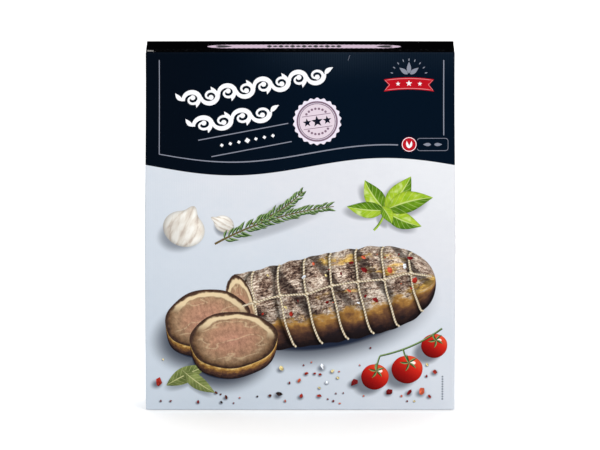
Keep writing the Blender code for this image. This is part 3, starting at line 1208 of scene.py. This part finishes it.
roast = dict(
    centre=(30.0, 92.0),
    half=(76.0, 36.0),
    tilt=11.0,
    thickness=(0.925, 0.045, 0.03),            # on the whole, slow swell, swell between two strings
    taper=(0.35, 2.4),         # where the right end starts to narrow, and how blunt it is
    cutEnd=(11.5, 0.985),      # half width, seen aslant, and height by share of the roast's
    cutBulge=-0.16,            # how far the left end bows out, by share of the half length
    strings=7,
    firstString=-0.80,
    stringPitch=0.27,
    bow=-0.06,                 # how far a string's middle curves to the left
    stringWidth=1.7,
    stringReach=1.01,          # they run just over the roast's edges
    stringSway=0.004,
    stringTwists=(190, 480),   # of a short string, and of the long one that joins the knots
    longEnds=((-0.985, 0.2), (0.965, 0.16)),   # where the long string starts and ends
    knot=(2.1, 1.6),
    knotHeight=(0.24, 0.05),   # on the whole, and how much it varies
    knotBow=0.97,              # by share of the string's bow
    shadows=[                  # shift, half sizes, depth, core
        ((-10, -15), (95.0, 44.0), 0.9, 0.25),
        ((-6, -19), (79.04, 29.0), 1.0, 0.5),
    ],
    cotton=[(0.1, srgb(170, 150, 118)), (0.8, srgb(232, 220, 196))],
    char=srgb(34, 26, 27),
    spark=srgb(236, 224, 208),
    wet=srgb(240, 226, 200),
    crust=[(0.412, srgb(34, 26, 27)), (0.455, srgb(72, 54, 47)), (0.485, srgb(118, 94, 80)),
           (0.522, srgb(170, 148, 130)), (0.58, srgb(236, 224, 208))],
    gold=[(0.42, srgb(120, 82, 34)), (0.52, srgb(206, 162, 66)), (0.62, srgb(240, 212, 132))],
    glaze=[(0.10, srgb(40, 31, 34)), (0.28, srgb(74, 50, 42)), (0.42, srgb(106, 73, 48)),
           (0.54, srgb(150, 108, 56)), (0.66, srgb(190, 148, 80)), (0.76, srgb(222, 190, 128))],
    light=[(0.0, 0.20), (0.14, 0.4), (0.34, 0.86), (0.6, 1.02), (0.8, 1.25), (1.0, 0.8)],
    footLight=[(0.0, 0.35), (0.10, 0.7), (0.2, 1.0)],
)


def roastHalf(u):
    # half thickness of the roast at a share u of its length, -1 left and 1 right
    start, blunt = roast["taper"]
    taper = (1 - ((u - start) / (1 - start)) ** blunt) ** 0.5 if u > start else 1.0
    swell = abs(math.sin(math.pi * (u - roast["firstString"]) / roast["stringPitch"])) ** 0.6
    whole, slow, tied = roast["thickness"]
    return roast["half"][1] * taper * (whole + slow * math.cos(3 * u) + tied * swell)


def roastPoint(u, v):
    return turned(roast["half"][0] * u, roastHalf(u) * v, roast["tilt"], roast["centre"])


def roastPatch():
    rows, columns = 110, 14
    points = []
    for row in range(rows + 1):
        u = -1 + 2 * math.sin(math.pi / 2 * row / rows)
        for column in range(columns + 1):
            v = 2 * column / columns - 1
            # the cut end on the left is an ellipse seen aslant
            bulge = roast["cutBulge"] * math.sqrt(max(1 - v * v, 0)) * (1 - (u + 1) / 2) ** 6
            place = roastPoint(u, v + 0.012 * v * v * v * math.sin(31 * u + 2 * v))
            points.append((*along(place, roast["tilt"], roast["half"][0] * bulge), u, v))
    return points, gridFaces(rows, columns), 0.3


def meatCrust(flesh):
    # browned: charred blotches, fibres along the meat, golden fat and fine bright specks
    blotch = grain(flesh, 62, 5.0, 0.6)
    fibre = grain(flesh, 340, 6.0, 0.8, stretch=(0.4, 1.0, 1.0))
    crumb = grain(flesh, 700, 3.0, 0.75, stretch=(0.7, 1.0, 1.0))
    colour = ramp(blotch * 0.24 + fibre * 0.40 + crumb * 0.36, roast["crust"])
    # thin pale strands and dark cracks along the fibres
    strand = grain(flesh, 210, 4.0, 0.7, stretch=(0.22, 1.0, 1.0))
    colour = mixColour(fade(abs(strand - 0.46), 0.014, 0.0) * 0.6, colour, roast["char"])
    pale = fade(abs(strand - 0.53), 0.016, 0.0) * fade(blotch, 0.40, 0.56)
    colour = mixColour(pale, colour, roast["spark"])
    fatty = fade(grain(flesh, 42, 4.0, 0.6, stretch=(0.4, 1.0, 1.0)), 0.55, 0.63) * fade(fibre, 0.38, 0.5)
    return mixColour(fatty * 0.9, colour, ramp(fibre, roast["gold"])), fibre


def paintRoast(art):
    # lit from the upper right: bright shoulder, dark belly
    flesh = patchPlace(art, roast["half"])
    colour, fibre = meatCrust(flesh)
    up = art.v * 0.5 + 0.5
    colour = shaded(colour, lightRamp(up, roast["light"]))
    # below the shoulder a smooth glazed side, gold at its upper edge and dark at its foot
    band = art.v + grain(flesh, 80, 4.0, 0.6) * 0.9 + fibre * 0.3 - 0.6
    colour = mixColour(fade(band, -0.26, -0.44), colour, ramp(band + 1.0, roast["glaze"]))
    colour = shaded(colour, lightRamp(up, roast["footLight"]))
    # between two strings the meat swells; each string throws a narrow shade to its left
    bow = calc("SQRT", calc("MAXIMUM", 1.0 - art.v * art.v, 0.0)) * roast["bow"]
    lane = calc("FRACT", (art.u - roast["firstString"] - bow) / roast["stringPitch"])
    dip = calc("MAXIMUM", fade(lane, 0.30, 0.0) * 0.55, fade(lane, 0.80, 0.97) * 0.85)
    colour = shaded(colour, 1.06 - dip)
    # grill marks run aslant over the log
    bar = calc("SINE", art.u * 15.0 + art.v * 3.4 + fibre * 1.6)
    bar = fade(bar, 0.62, 0.92) * fade(art.v, -0.45, -0.1)
    colour = mixColour(bar * 0.75, colour, roast["char"])
    # fat glistening on the shoulder
    wet = fade(fibre, 0.60, 0.68) * fade(abs(art.v - 0.52), 0.34, 0.05)
    return mixColour(wet * 0.8, colour, roast["wet"])


slices = dict(
    faces=[                    # centre, half width, half height, tilt, thickness
        ((-72.0, 74.0), 33.0, 23.5, 14.0, 8.5),
        ((-52.0, 57.0), 34.0, 23.0, 9.0, 9.0),
    ],
    shadows=[                  # shift, share of the slice's size, depth, core
        ((-7, -6), (1.3, 1.35), 0.9, 0.25),
        ((-3, -2), (1.08, 1.1), 1.0, 0.6),
    ],
    flesh=[(0.0, srgb(182, 134, 112)), (0.5, srgb(174, 132, 106)), (0.74, srgb(156, 126, 98)),
           (0.87, srgb(118, 90, 66)), (0.95, srgb(64, 46, 38))],
    fat=srgb(232, 210, 170),
)


def paintCut(art):
    # a cut face: rosy brown middle, grey-brown ring, dark crust, pale fat veins
    flesh = patchPlace(art, (35, 35))
    fibre = grain(flesh, 300, 6.0, 0.75, stretch=(1.0, 0.5, 1.0))
    away = fromMiddle(art) + grain(flesh, 120, 3.0) * 0.16 - 0.08
    colour = shaded(ramp(away, slices["flesh"]), fibre * 2.3 - 0.15)
    seam = grain(flesh, 34, 2.0, 0.5, stretch=(0.7, 1.3, 1.0))
    vein = fade(abs(seam - 0.5), 0.022, 0.0) * fade(away, 0.86, 0.7) * fade(fibre, 0.36, 0.52)
    cap = fade(abs(away - 0.83), 0.09, 0.04) * fade(art.v + art.u * 0.4, 0.1, 0.5)
    colour = mixColour(calc("MAXIMUM", vein * 0.4, cap * 0.85), colour, slices["fat"])
    return shaded(colour, art.v * 0.16 + 0.94)


def paintRim(art):
    # browned side of a slice, darkest at its foot
    flesh = patchPlace(art, (52, 4))
    fibre = grain(flesh, 240, 5.0, 0.7, stretch=(1.0, 2.2, 1.0))
    tone = fibre * 0.6 + grain(flesh, 70, 4.0, 0.6) * 0.4
    colour = ramp(art.v * 0.36 + tone * 1.3 - 0.25, roast["glaze"])
    return shaded(colour, fade(art.v, -1.9, -0.2) * fade(art.u, -1.8, 0.2))


def wallPatch(centre, radii, tilt, edge, thick, seed):
    # the side of a slice that shows below its face: u round it, v from its foot (-1) to its top (1)
    columns, rows = 60, 5
    points = []
    for column in range(columns + 1):
        angle = math.radians(-tilt) + math.pi + math.pi * column / columns
        long, tall = radii[0] * edge(angle), radii[1] * edge(angle)
        a, b = turned(long * math.cos(angle), tall * math.sin(angle), tilt)
        for row in range(rows + 1):
            down = 1 - row / rows
            points.append((centre[0] + a * (1 - 0.03 * down), centre[1] + b * 0.97 - thick * down,
                           2 * column / columns - 1, 2 * row / rows - 1))
    return points, gridFaces(columns, rows), seed


def addRoast():
    printPiece("pictureRoast", [roastPatch()], inkMaterial("roastInk", paintRoast), layer=1)
    cutInk = inkMaterial("cutInk", paintCut)
    rimInk = inkMaterial("rimInk", paintRim)
    wide, tall = roast["cutEnd"][0], roast["cutEnd"][1] * roastHalf(-1)
    end = discPatch(roastPoint(-1.0, 0), (wide, tall), roast["tilt"], 8, 56, wobble(5, 0.012), 0.7)
    printPiece("pictureCutEnd", [end], cutInk, layer=2)
    for shift, radii, depth, core in roast["shadows"]:
        addShadow(Vector(roast["centre"]) + Vector(shift), radii, roast["tilt"], depth, core)
    for index, ((x, z), wide, tall, tilt, thick) in enumerate(slices["faces"]):
        for (right, up), (longer, taller), depth, core in slices["shadows"]:
            addShadow((x + right, z - thick + up), (wide * longer, tall * taller), tilt, depth, core)
        edge = wobble(11 + index)
        wall = wallPatch((x, z), (wide, tall), tilt, edge, thick, index + 0.3)
        printPiece(f"pictureSliceWall{index + 1}", [wall], rimInk, layer=3 + 2 * index)
        face = discPatch((x, z), (wide, tall), tilt, 8, 72, edge, index + 1.5)
        printPiece(f"pictureSlice{index + 1}", [face], cutInk, layer=4 + 2 * index)


def paintString(art):
    # twisted cotton, cream, darker at both edges; its seed is the number of twists
    twist = calc("SINE", art.u * art.seed + art.v * 1.6)
    return shaded(ramp(twist * 0.5 + 0.5, roast["cotton"], "EASE"), fade(abs(art.v), 1.35, 0.35))


def addStrings():
    width, (twists, longTwists) = roast["stringWidth"], roast["stringTwists"]
    (high, varies), steps = roast["knotHeight"], 24
    strings, knots = [], []
    for index in range(roast["strings"]):
        u = roast["firstString"] + roast["stringPitch"] * index
        path = []
        for step in range(steps + 1):
            v = -1 + 2 * step / steps
            bow = roast["bow"] * math.sqrt(max(1 - v * v, 0)) + roast["stringSway"] * math.sin(7 * v + index)
            path.append(roastPoint(u + bow, v * roast["stringReach"]))
        strings.append(ribbonPatch(path, width, 4, twists))
        knots.append((u + roast["bow"] * roast["knotBow"], high + varies * math.sin(index * 2.3)))
    # one long string joins the knots
    start, end = roast["longEnds"]
    line = [start] + knots + [end]
    path = []
    for (u0, v0), (u1, v1) in zip(line, line[1:]):
        path += [roastPoint(u0 + (u1 - u0) * k / 8, v0 + (v1 - v0) * k / 8) for k in range(8)]
    strings.append(ribbonPatch(path + [roastPoint(*end)], width, 4, longTwists))
    for index, knot in enumerate(knots):
        strings.append(discPatch(roastPoint(*knot), roast["knot"], 30, 3, 20, wobble(index), 5))
    printPiece("pictureString", strings, inkMaterial("stringInk", paintString), layer=3)


freshLeaves = dict(
    leaves=[                   # base, tip, width, bend
        ((66, 161), (50, 185), 15, 1.5),
        ((66, 161), (36, 164), 13, 1.2),
        ((66, 160), (94, 148), 14, -1.5),
        ((66, 161), (86, 188), 17, -1.5),
        ((66, 161), (103, 171), 17, 2.0),
        ((63, 164), (71, 150), 9, 1.0),
    ],
    stem=((66, 162), (57, 145), 1.5),          # start, end, bend
    stemWidth=1.8,
    fullness=0.82,
    shade=((-3.2, -3.4), (0.56, 0.56), 0.5),   # shift, share of a leaf's length and width, depth
    dark=[(0.3, srgb(62, 104, 20)), (0.7, srgb(112, 154, 32))],
    light=[(0.3, srgb(128, 172, 30)), (0.7, srgb(182, 206, 58))],
    vein=srgb(196, 214, 128),
    wet=srgb(232, 242, 176),
)

dryLeaves = dict(
    leaves=[((-104, 20), (-72, 36), 13, 1.0), ((-92, 33), (-66, 14), 11, -1.2)],
    fullness=0.9,
    shade=((-2.4, -2.6), (0.56, 0.6), 0.5),
    green=[(0.3, srgb(74, 88, 44)), (0.7, srgb(134, 146, 84))],
    vein=srgb(196, 196, 140),
)


def leafVeins(art, slant, count, start, strength):
    # midrib, and side veins that run forward
    sides = calc("SINE", (art.u - abs(art.v) * slant) * count)
    return calc("MAXIMUM", fade(sides, start, 0.99) * strength, fade(abs(art.v), 0.10, 0.03))


def paintLeaf(art):
    # one half catches the light
    cloud = grain(art.place, 160, 3.0)
    halves = [ramp(cloud, freshLeaves[half]) for half in ("dark", "light")]
    colour = mixColour(fade(art.v, -0.15, 0.15), *halves)
    colour = mixColour(leafVeins(art, 0.22, 46, 0.86, 0.45), colour, freshLeaves["vein"])
    wet = fade(grain(art.place, 95, 2.0), 0.52, 0.66) * fade(art.v, 0.1, 0.5)
    colour = mixColour(wet * 0.55, colour, freshLeaves["wet"])
    return shaded(colour, fade(abs(art.v), 1.5, 0.7) * fade(art.u, -0.55, 0.35))


def paintDryLeaf(art):
    # duller and greyer than the fresh leaves
    colour = ramp(grain(art.place, 140, 4.0), dryLeaves["green"])
    colour = mixColour(leafVeins(art, 0.16, 60, 0.85, 0.4), colour, dryLeaves["vein"])
    return shaded(colour, art.v * 0.18 + 0.95)


def leafPatches(spray):
    shift, (longer, wider), depth = spray["shade"]
    patches = []
    for index, (base, tip, width, bend) in enumerate(spray["leaves"]):
        base, tip = Vector(base), Vector(tip)
        patches.append(leafPatch(base, tip, width, bend, 20, 8, spray["fullness"], index))
        middle, run = (base + tip) / 2 + Vector(shift), tip - base
        addShadow(middle, (run.length * longer, width * wider), headingOf(run), depth)
    return patches


def addLeaves():
    stem = ribbonPatch(curve(*freshLeaves["stem"]), freshLeaves["stemWidth"], 8)
    leafInk, bayInk = inkMaterial("leafInk", paintLeaf), inkMaterial("bayInk", paintDryLeaf)
    printPiece("pictureLeaves", [stem] + leafPatches(freshLeaves), leafInk, layer=1)
    printPiece("pictureBay", leafPatches(dryLeaves), bayInk, layer=1)


rosemary = dict(
    sprigs=[                   # base, tip, bend, needles on each side, needle length
        ((-66, 134), (26, 164), 5.0, 30, 11.0),
        ((-38, 150), (2, 176), -3.0, 16, 9.0),
    ],
    seed=7,
    stem=1.7,
    stemTaper=0.6,             # how much of its width is gone at its tip
    needle=1.9,
    span=(0.10, 0.98),         # the first and the last needles, by share of the stem
    lean=(30, 52),             # between a needle and its stem, in degrees
    leanAlong=(1.05, 0.60),    # times that, at the stem's foot and at its tip
    reach=(0.75, 1.08),        # by share of the needle length
    reachAlong=(1.0, 0.65),
    shade=((-2.0, -4.0), 0.54, 8.5, 0.36),     # shift, share of the length, half width, depth
    bark=srgb(104, 88, 58),
    green=[(0.0, srgb(34, 56, 30)), (0.5, srgb(62, 92, 46)), (0.62, srgb(150, 172, 118)),
           (1.0, srgb(92, 124, 64))],
)


def paintNeedle(art):
    colour = ramp(art.v * 0.5 + 0.5, rosemary["green"])
    return shaded(colour, grain(art.place, 90, 2.0) * 0.8 + 0.6)


def addRosemary():
    rng = random.Random(rosemary["seed"])
    shift, longer, wide, depth = rosemary["shade"]
    needles, stems = [], []
    for base, tip, bend, count, length in rosemary["sprigs"]:
        path = curve(base, tip, bend, 60)
        stems.append(ribbonPatch(path, lambda t: rosemary["stem"] * (1 - rosemary["stemTaper"] * t)))
        for index in range(count):
            t = between(rosemary["span"], index / (count - 1))
            step = int((len(path) - 2) * t)
            place, ahead = Vector(path[step]), Vector(path[step + 1])
            for side in (-1, 1):
                lean = side * rng.uniform(*rosemary["lean"]) * between(rosemary["leanAlong"], t)
                reach = length * rng.uniform(*rosemary["reach"]) * between(rosemary["reachAlong"], t)
                end = along(place, headingOf(ahead - place) + lean, reach)
                needles.append(leafPatch(place, end, rosemary["needle"], side * 0.7, 6, 2, 0.95, index))
        run = Vector(tip) - Vector(base)
        across = Vector((-run.y, run.x)).normalized() * bend * 0.6
        middle = (Vector(base) + Vector(tip)) / 2 + across + Vector(shift)
        addShadow(middle, (run.length * longer, wide), headingOf(run), depth, 0.0)
    printPiece("pictureStems", stems, plainInk("stemInk", rosemary["bark"]), layer=1)
    printPiece("pictureNeedles", needles, inkMaterial("needleInk", paintNeedle), layer=2)


tomatoes = dict(
    places=[((58, 27), 10.8), ((83, 33), 12.0), ((104, 52), 10.2)],
    flatness=0.95,             # height by width
    vine=((62, 44), (110, 66), -3),            # start, end, bend
    vineWidth=1.5,
    stalkWidth=1.3,
    hub=(0.12, 0.45),          # where its green star sits, by share of the tomato's size
    arms=5,
    arm=(0.62, 1.9),           # length by share of the size, and width
    armTurn=(20, 11),          # of the first star, and how much more for each further one
    shade=((-4.5, -5.0), (1.35, 1.1), 20, 0.72),               # shift, share of its size, tilt, depth
    skin=[(0.1, srgb(72, 6, 8)), (0.38, srgb(150, 18, 16)), (0.62, srgb(204, 38, 26)),
          (0.85, srgb(232, 84, 52))],
    glint=srgb(255, 240, 230),
    glintPlace=(0.36, 0.46),
    glintSize=(0.19, 0.13),
)


def paintTomato(art):
    # glossy red skin with one bright highlight
    colour = ramp((art.u * 0.42 + art.v * 0.58) * 0.5 + 0.5, tomatoes["skin"])
    (placeU, placeV), (sizeU, sizeV) = tomatoes["glintPlace"], tomatoes["glintSize"]
    du, dv = (art.u - placeU) / sizeU, (art.v - placeV) / sizeV
    colour = mixColour(fade(du * du + dv * dv, 1.3, 0.5), colour, tomatoes["glint"])
    return shaded(colour, fade(fromMiddle(art), 1.25, 0.86))


def addTomatoes():
    vine = curve(*tomatoes["vine"], 20)
    skins, greens = [], [ribbonPatch(vine, tomatoes["vineWidth"])]
    (right, up), (longer, taller), tilt, depth = tomatoes["shade"]
    (length, width), (turn, further) = tomatoes["arm"], tomatoes["armTurn"]
    for index, ((x, z), size) in enumerate(tomatoes["places"]):
        radii, edge = (size, size * tomatoes["flatness"]), wobble(20 + index, 0.012)
        skins.append(discPatch((x, z), radii, 0, 8, 44, edge, index))
        addShadow((x + right, z + up), (size * longer, size * taller), tilt, depth)
        hub = (x + size * tomatoes["hub"][0], z + size * tomatoes["hub"][1])
        for arm in range(tomatoes["arms"]):
            heading = 360 * arm / tomatoes["arms"] + turn + further * index
            greens.append(leafPatch(hub, along(hub, heading, size * length), width, 0.5, 6, 2, 0.8, arm))
        nearest = min(vine, key=lambda point: math.dist(point, hub))
        greens.append(ribbonPatch(curve(hub, nearest, 0.6, 8), tomatoes["stalkWidth"]))
    printPiece("pictureTomatoes", skins, inkMaterial("tomatoInk", paintTomato), layer=1)
    printPiece("pictureVine", greens, inkMaterial("vineInk", paintNeedle), layer=2)


garlic = dict(
    bulbs=[((-90, 146), 16.5, 14.0, -24), ((-59, 150), 6.5, 8.0, 62)],         # centre, half sizes, tilt
    neck=(0.42, 13),           # how far it stands out, and how wide it is in degrees
    shade=((-0.22, -0.34), (1.25, 1.1), 15, 0.6),              # shift and size by share, tilt, depth
    skin=[(0.25, srgb(204, 190, 178)), (0.42, srgb(232, 224, 212)), (0.62, srgb(250, 247, 240))],
    blush=srgb(206, 176, 180),
)


def paintGarlic(art):
    # papery cream skin with ribs that gather at the neck
    squeeze = 1.0 - art.v * art.v * 0.55
    rib = abs(calc("SINE", art.u / squeeze * 5.2)) ** 0.6 - 0.75
    cloud = grain(patchPlace(art, (16, 14)), 260, 4.0, 0.6, stretch=(1.0, 0.3, 1.0))
    blush = fade(grain(art.place, 70, 2.0), 0.54, 0.7) * 0.32
    colour = mixColour(blush, ramp(rib * 0.30 + cloud, garlic["skin"]), garlic["blush"])
    light = art.u * 0.16 + art.v * 0.14 + 0.86
    return shaded(colour, light * fade(fromMiddle(art), 1.35, 0.75))


def addGarlic():
    def bulb(angle):
        far, wide = garlic["neck"]
        return 1 + far * math.exp(-((math.degrees(angle) - 90) / wide) ** 2)

    (right, up), (longer, taller), shadeTilt, depth = garlic["shade"]
    patches = []
    for (x, z), wide, tall, tilt in garlic["bulbs"]:
        patches.append(discPatch((x, z), (wide, tall), tilt, 10, 72, bulb, x))
        addShadow((x + right * wide, z + up * tall), (wide * longer, tall * taller), shadeTilt, depth)
    printPiece("pictureGarlic", patches, inkMaterial("garlicInk", paintGarlic), layer=1)


scatter = dict(
    seed=41,
    count=80,
    onMeat=30,
    meatSeeds=(0.1, 0.2, 0.4, 0.4, 0.55, 0.6, 0.8, 0.97),      # mostly red ones lie on the roast
    sizes=(1.0, 4.4),
    smallMore=1.7,             # the higher, the more small ones
    meatSize=0.8,              # times as large on the roast
    flatness=(0.5, 0.85),
    corners=(5, 7),
    cornerShift=0.28,          # by share of the step between two corners
    cornerReach=(0.62, 1.0),
    gap=1,
    meatAcross=(-0.8, 0.85),   # where they lie on the roast
    meatBands=((0.38, 0.85), (-0.25, 0.1)),
    shade=((-0.3, -0.42), (1.45, 1.2), 20, 0.75),              # shift and size by share, tilt, depth
    across=111,
    foot=3.0,                  # clear of the panel's foot, with room for their shadows
    depth=24,                  # how far up the ground they spread
    leftOfRoast=-46,
    highest=110,
    clear=8,                   # gap below the roast
    keepOut=[                  # tomatoes, dry leaves, slices and foot note: centre, radius
        ((58, 27), 15), ((83, 33), 16), ((104, 52), 14), ((-88, 27), 20), ((-72, 66), 36),
        ((-48, 50), 37), ((110, 19), 12),
    ],
    colours=[                  # dried red flakes, seeds, cracked pepper and salt, by the seed of each
        (0.0, srgb(112, 26, 28)), (0.3, srgb(152, 44, 34)), (0.5, srgb(200, 92, 64)),
        (0.64, srgb(88, 46, 38)), (0.76, srgb(224, 204, 142)), (0.86, srgb(48, 36, 34)),
        (0.94, srgb(226, 230, 236)),
    ],
)


def paintFlake(art):
    facet = fade(grain(art.place, 560, 2.0, 0.6), 0.48, 0.56)
    light = art.u * 0.25 + art.v * 0.3 + facet * 0.5 + 0.8
    return shaded(ramp(art.seed, scatter["colours"], "CONSTANT"), light)


def paintShadow(art):
    # the ground again, darkened towards the middle of the patch; its seed is how dark
    depth = fade(fromMiddle(art), 1.0, 0.15) * art.seed
    return mixColour(depth, paintField(art), field["smallShadow"])


def chip(rng):
    # outline of a flake, with a few straight sides
    count, shift = rng.randint(*scatter["corners"]), scatter["cornerShift"]
    corners = [(2 * math.pi * (k + rng.uniform(-shift, shift)) / count, rng.uniform(*scatter["cornerReach"]))
               for k in range(count)]
    corners.append((corners[0][0] + 2 * math.pi, corners[0][1]))

    def edge(angle):
        for (start, near), (end, far) in zip(corners, corners[1:]):
            turn, span = (angle - start) % (2 * math.pi), end - start
            if turn <= span:
                return near * far * math.sin(span) / (near * math.sin(turn) + far * math.sin(span - turn))
        return 1.0
    return edge


def flakePlace(rng, size, onMeat):
    # a place on the roast, or on the ground below it; None where that is taken up
    if onMeat:
        u = rng.uniform(*scatter["meatAcross"])
        return roastPoint(u, rng.choice([rng.uniform(*band) for band in scatter["meatBands"]]))
    x = rng.uniform(-scatter["across"], scatter["across"])
    z = abs(rng.gauss(0, scatter["depth"])) + scatter["foot"] + 2 * size
    (cx, cz), slope = roast["centre"], math.tan(math.radians(roast["tilt"]))
    belowRoast = cz - roast["half"][1] + slope * (x - cx) - scatter["clear"]
    if z > (belowRoast if x > scatter["leftOfRoast"] else scatter["highest"]):
        return None
    if any(math.dist((x, z), centre) < radius for centre, radius in scatter["keepOut"]):
        return None
    return x, z


def addFlakes():
    rng = random.Random(scatter["seed"])
    (right, up), (longer, taller), shadeTilt, depth = scatter["shade"]
    flakes, shadows, taken = [], [], []
    while len(flakes) < scatter["count"]:
        onMeat = len(flakes) < scatter["onMeat"]
        size = between(scatter["sizes"], rng.random() ** scatter["smallMore"])
        size *= scatter["meatSize"] if onMeat else 1
        place = flakePlace(rng, size, onMeat)
        if not place or any(math.dist(place, other) < size + far + scatter["gap"] for other, far in taken):
            continue
        taken.append((place, size))
        tilt = rng.uniform(0, 180)
        outline = chip(rng)
        seed = rng.choice(scatter["meatSeeds"]) if onMeat else rng.random()
        radii = (size, size * rng.uniform(*scatter["flatness"]))
        flakes.append(discPatch(place, radii, tilt, 2, 24, outline, seed))
        if not onMeat:
            shade = (place[0] + right * size, place[1] + up * size)
            shadows.append(discPatch(shade, (size * longer, size * taller), shadeTilt, 4, 20, seed=depth))
    printPiece("pictureFlakes", flakes, inkMaterial("flakeInk", paintFlake), layer=8)
    return shadows


footNote = dict(
    place=(110.5, 8.5, 28.5),  # x and its two ends
    dashes=10,
    share=0.6,                 # of each step that its dash fills
    width=1.3,
    colour=srgb(112, 120, 134),
)


def addFootNote():
    x, low, high = footNote["place"]
    step = (high - low) / footNote["dashes"]
    starts = [low + step * index for index in range(footNote["dashes"])]
    dashes = [rule((x, z), (x, z + footNote["share"] * step), footNote["width"]) for z in starts]
    printPiece("pictureFootNote", dashes, plainInk("footNoteInk", footNote["colour"]))


addRoast()
addStrings()
addLeaves()
addRosemary()
addTomatoes()
addGarlic()
flakeShadows = addFlakes()
addFootNote()
printPiece("pictureShadows", flakeShadows, inkMaterial("shadowInk", paintShadow))
# the ground's own ink comes last, once every soft shadow is known
for boardInk in (inkMaterial("printedBoard", paintBoard), rawBoardMaterial(),
                 inkMaterial("lidBoard", paintLid, specular=0.0)):
    board.data.materials.append(boardInk)
print("picture printed,", len(casts), "soft shadows on the ground")


studio = dict(
    tilt=12.17,                # degrees down
    distance=4.5,
    lens=344.1,
    aim=(-0.00014, 0.0, 0.1449),
    worldStrength=0.62,
    lights=[                   # name, place, aim, size, power
        ("keyLeft", (-1.3, -2.2, 1.5), (0, 0, 0.12), (1.4, 1.4), 12.0),
        ("keyRight", (1.5, -2.0, 1.7), (0, 0, 0.12), (1.4, 1.4), 15.5),
        ("top", (0.1, 0.1, 2.1), (0, 0, 0.1), (1.6, 1.2), 11.0),
        ("backFloor", (0, 2.4, 2.0), (0, 2.0, 0), (4.0, 2.4), 34),
    ],
    floorColour=srgb(250, 250, 250),
    floorGlow=0.14,
    floorPlace=(0, 4, -0.0002),
    floorSize=9,
)


def addCamera():
    tilt = math.radians(studio["tilt"])
    data = bpy.data.cameras.new("camera")
    data.lens = studio["lens"]
    data.sensor_width = 36
    data.clip_start, data.clip_end = 0.05, 50
    camera = bpy.data.objects.new("camera", data)
    away = Vector((0, -math.cos(tilt), math.sin(tilt)))
    camera.location = Vector(studio["aim"]) + studio["distance"] * away
    camera.rotation_euler = (math.pi / 2 - tilt, 0, 0)
    bpy.context.scene.collection.objects.link(camera)
    bpy.context.scene.camera = camera


def addLight(name, place, aim, size, power):
    data = bpy.data.lights.new(name, "AREA")
    data.shape = "RECTANGLE"
    data.size, data.size_y = size
    data.energy = power
    light = bpy.data.objects.new(name, data)
    light.location = place
    light.rotation_euler = (Vector(aim) - Vector(place)).to_track_quat("-Z", "Y").to_euler()
    bpy.context.scene.collection.objects.link(light)


def addStudio():
    world = bpy.data.worlds.new("studio")
    world.use_nodes = True
    background = world.node_tree.nodes["Background"]
    put(background, 0, (1, 1, 1, 1))
    put(background, 1, studio["worldStrength"])
    bpy.context.scene.world = world
    bpy.context.scene.view_settings.view_transform = "Standard"
    for light in studio["lights"]:
        addLight(*light)
    bm = bmesh.new()
    bmesh.ops.create_grid(bm, x_segments=4, y_segments=4, size=studio["floorSize"])
    floor = fromBmesh("floor", bm)
    floor.location = studio["floorPlace"]
    material, _, shader = newMaterial("floorPaper")
    put(shader, "Base Color", studio["floorColour"])
    put(shader, "Roughness", 0.9)
    put(shader, "Specular IOR Level", 0.1)
    put(shader, "Emission Color", (1, 1, 1, 1))
    put(shader, "Emission Strength", studio["floorGlow"])
    floor.data.materials.append(material)


addCamera()
addStudio()
print("studio ready")

for piece in pieces:
    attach(piece, bodyName)
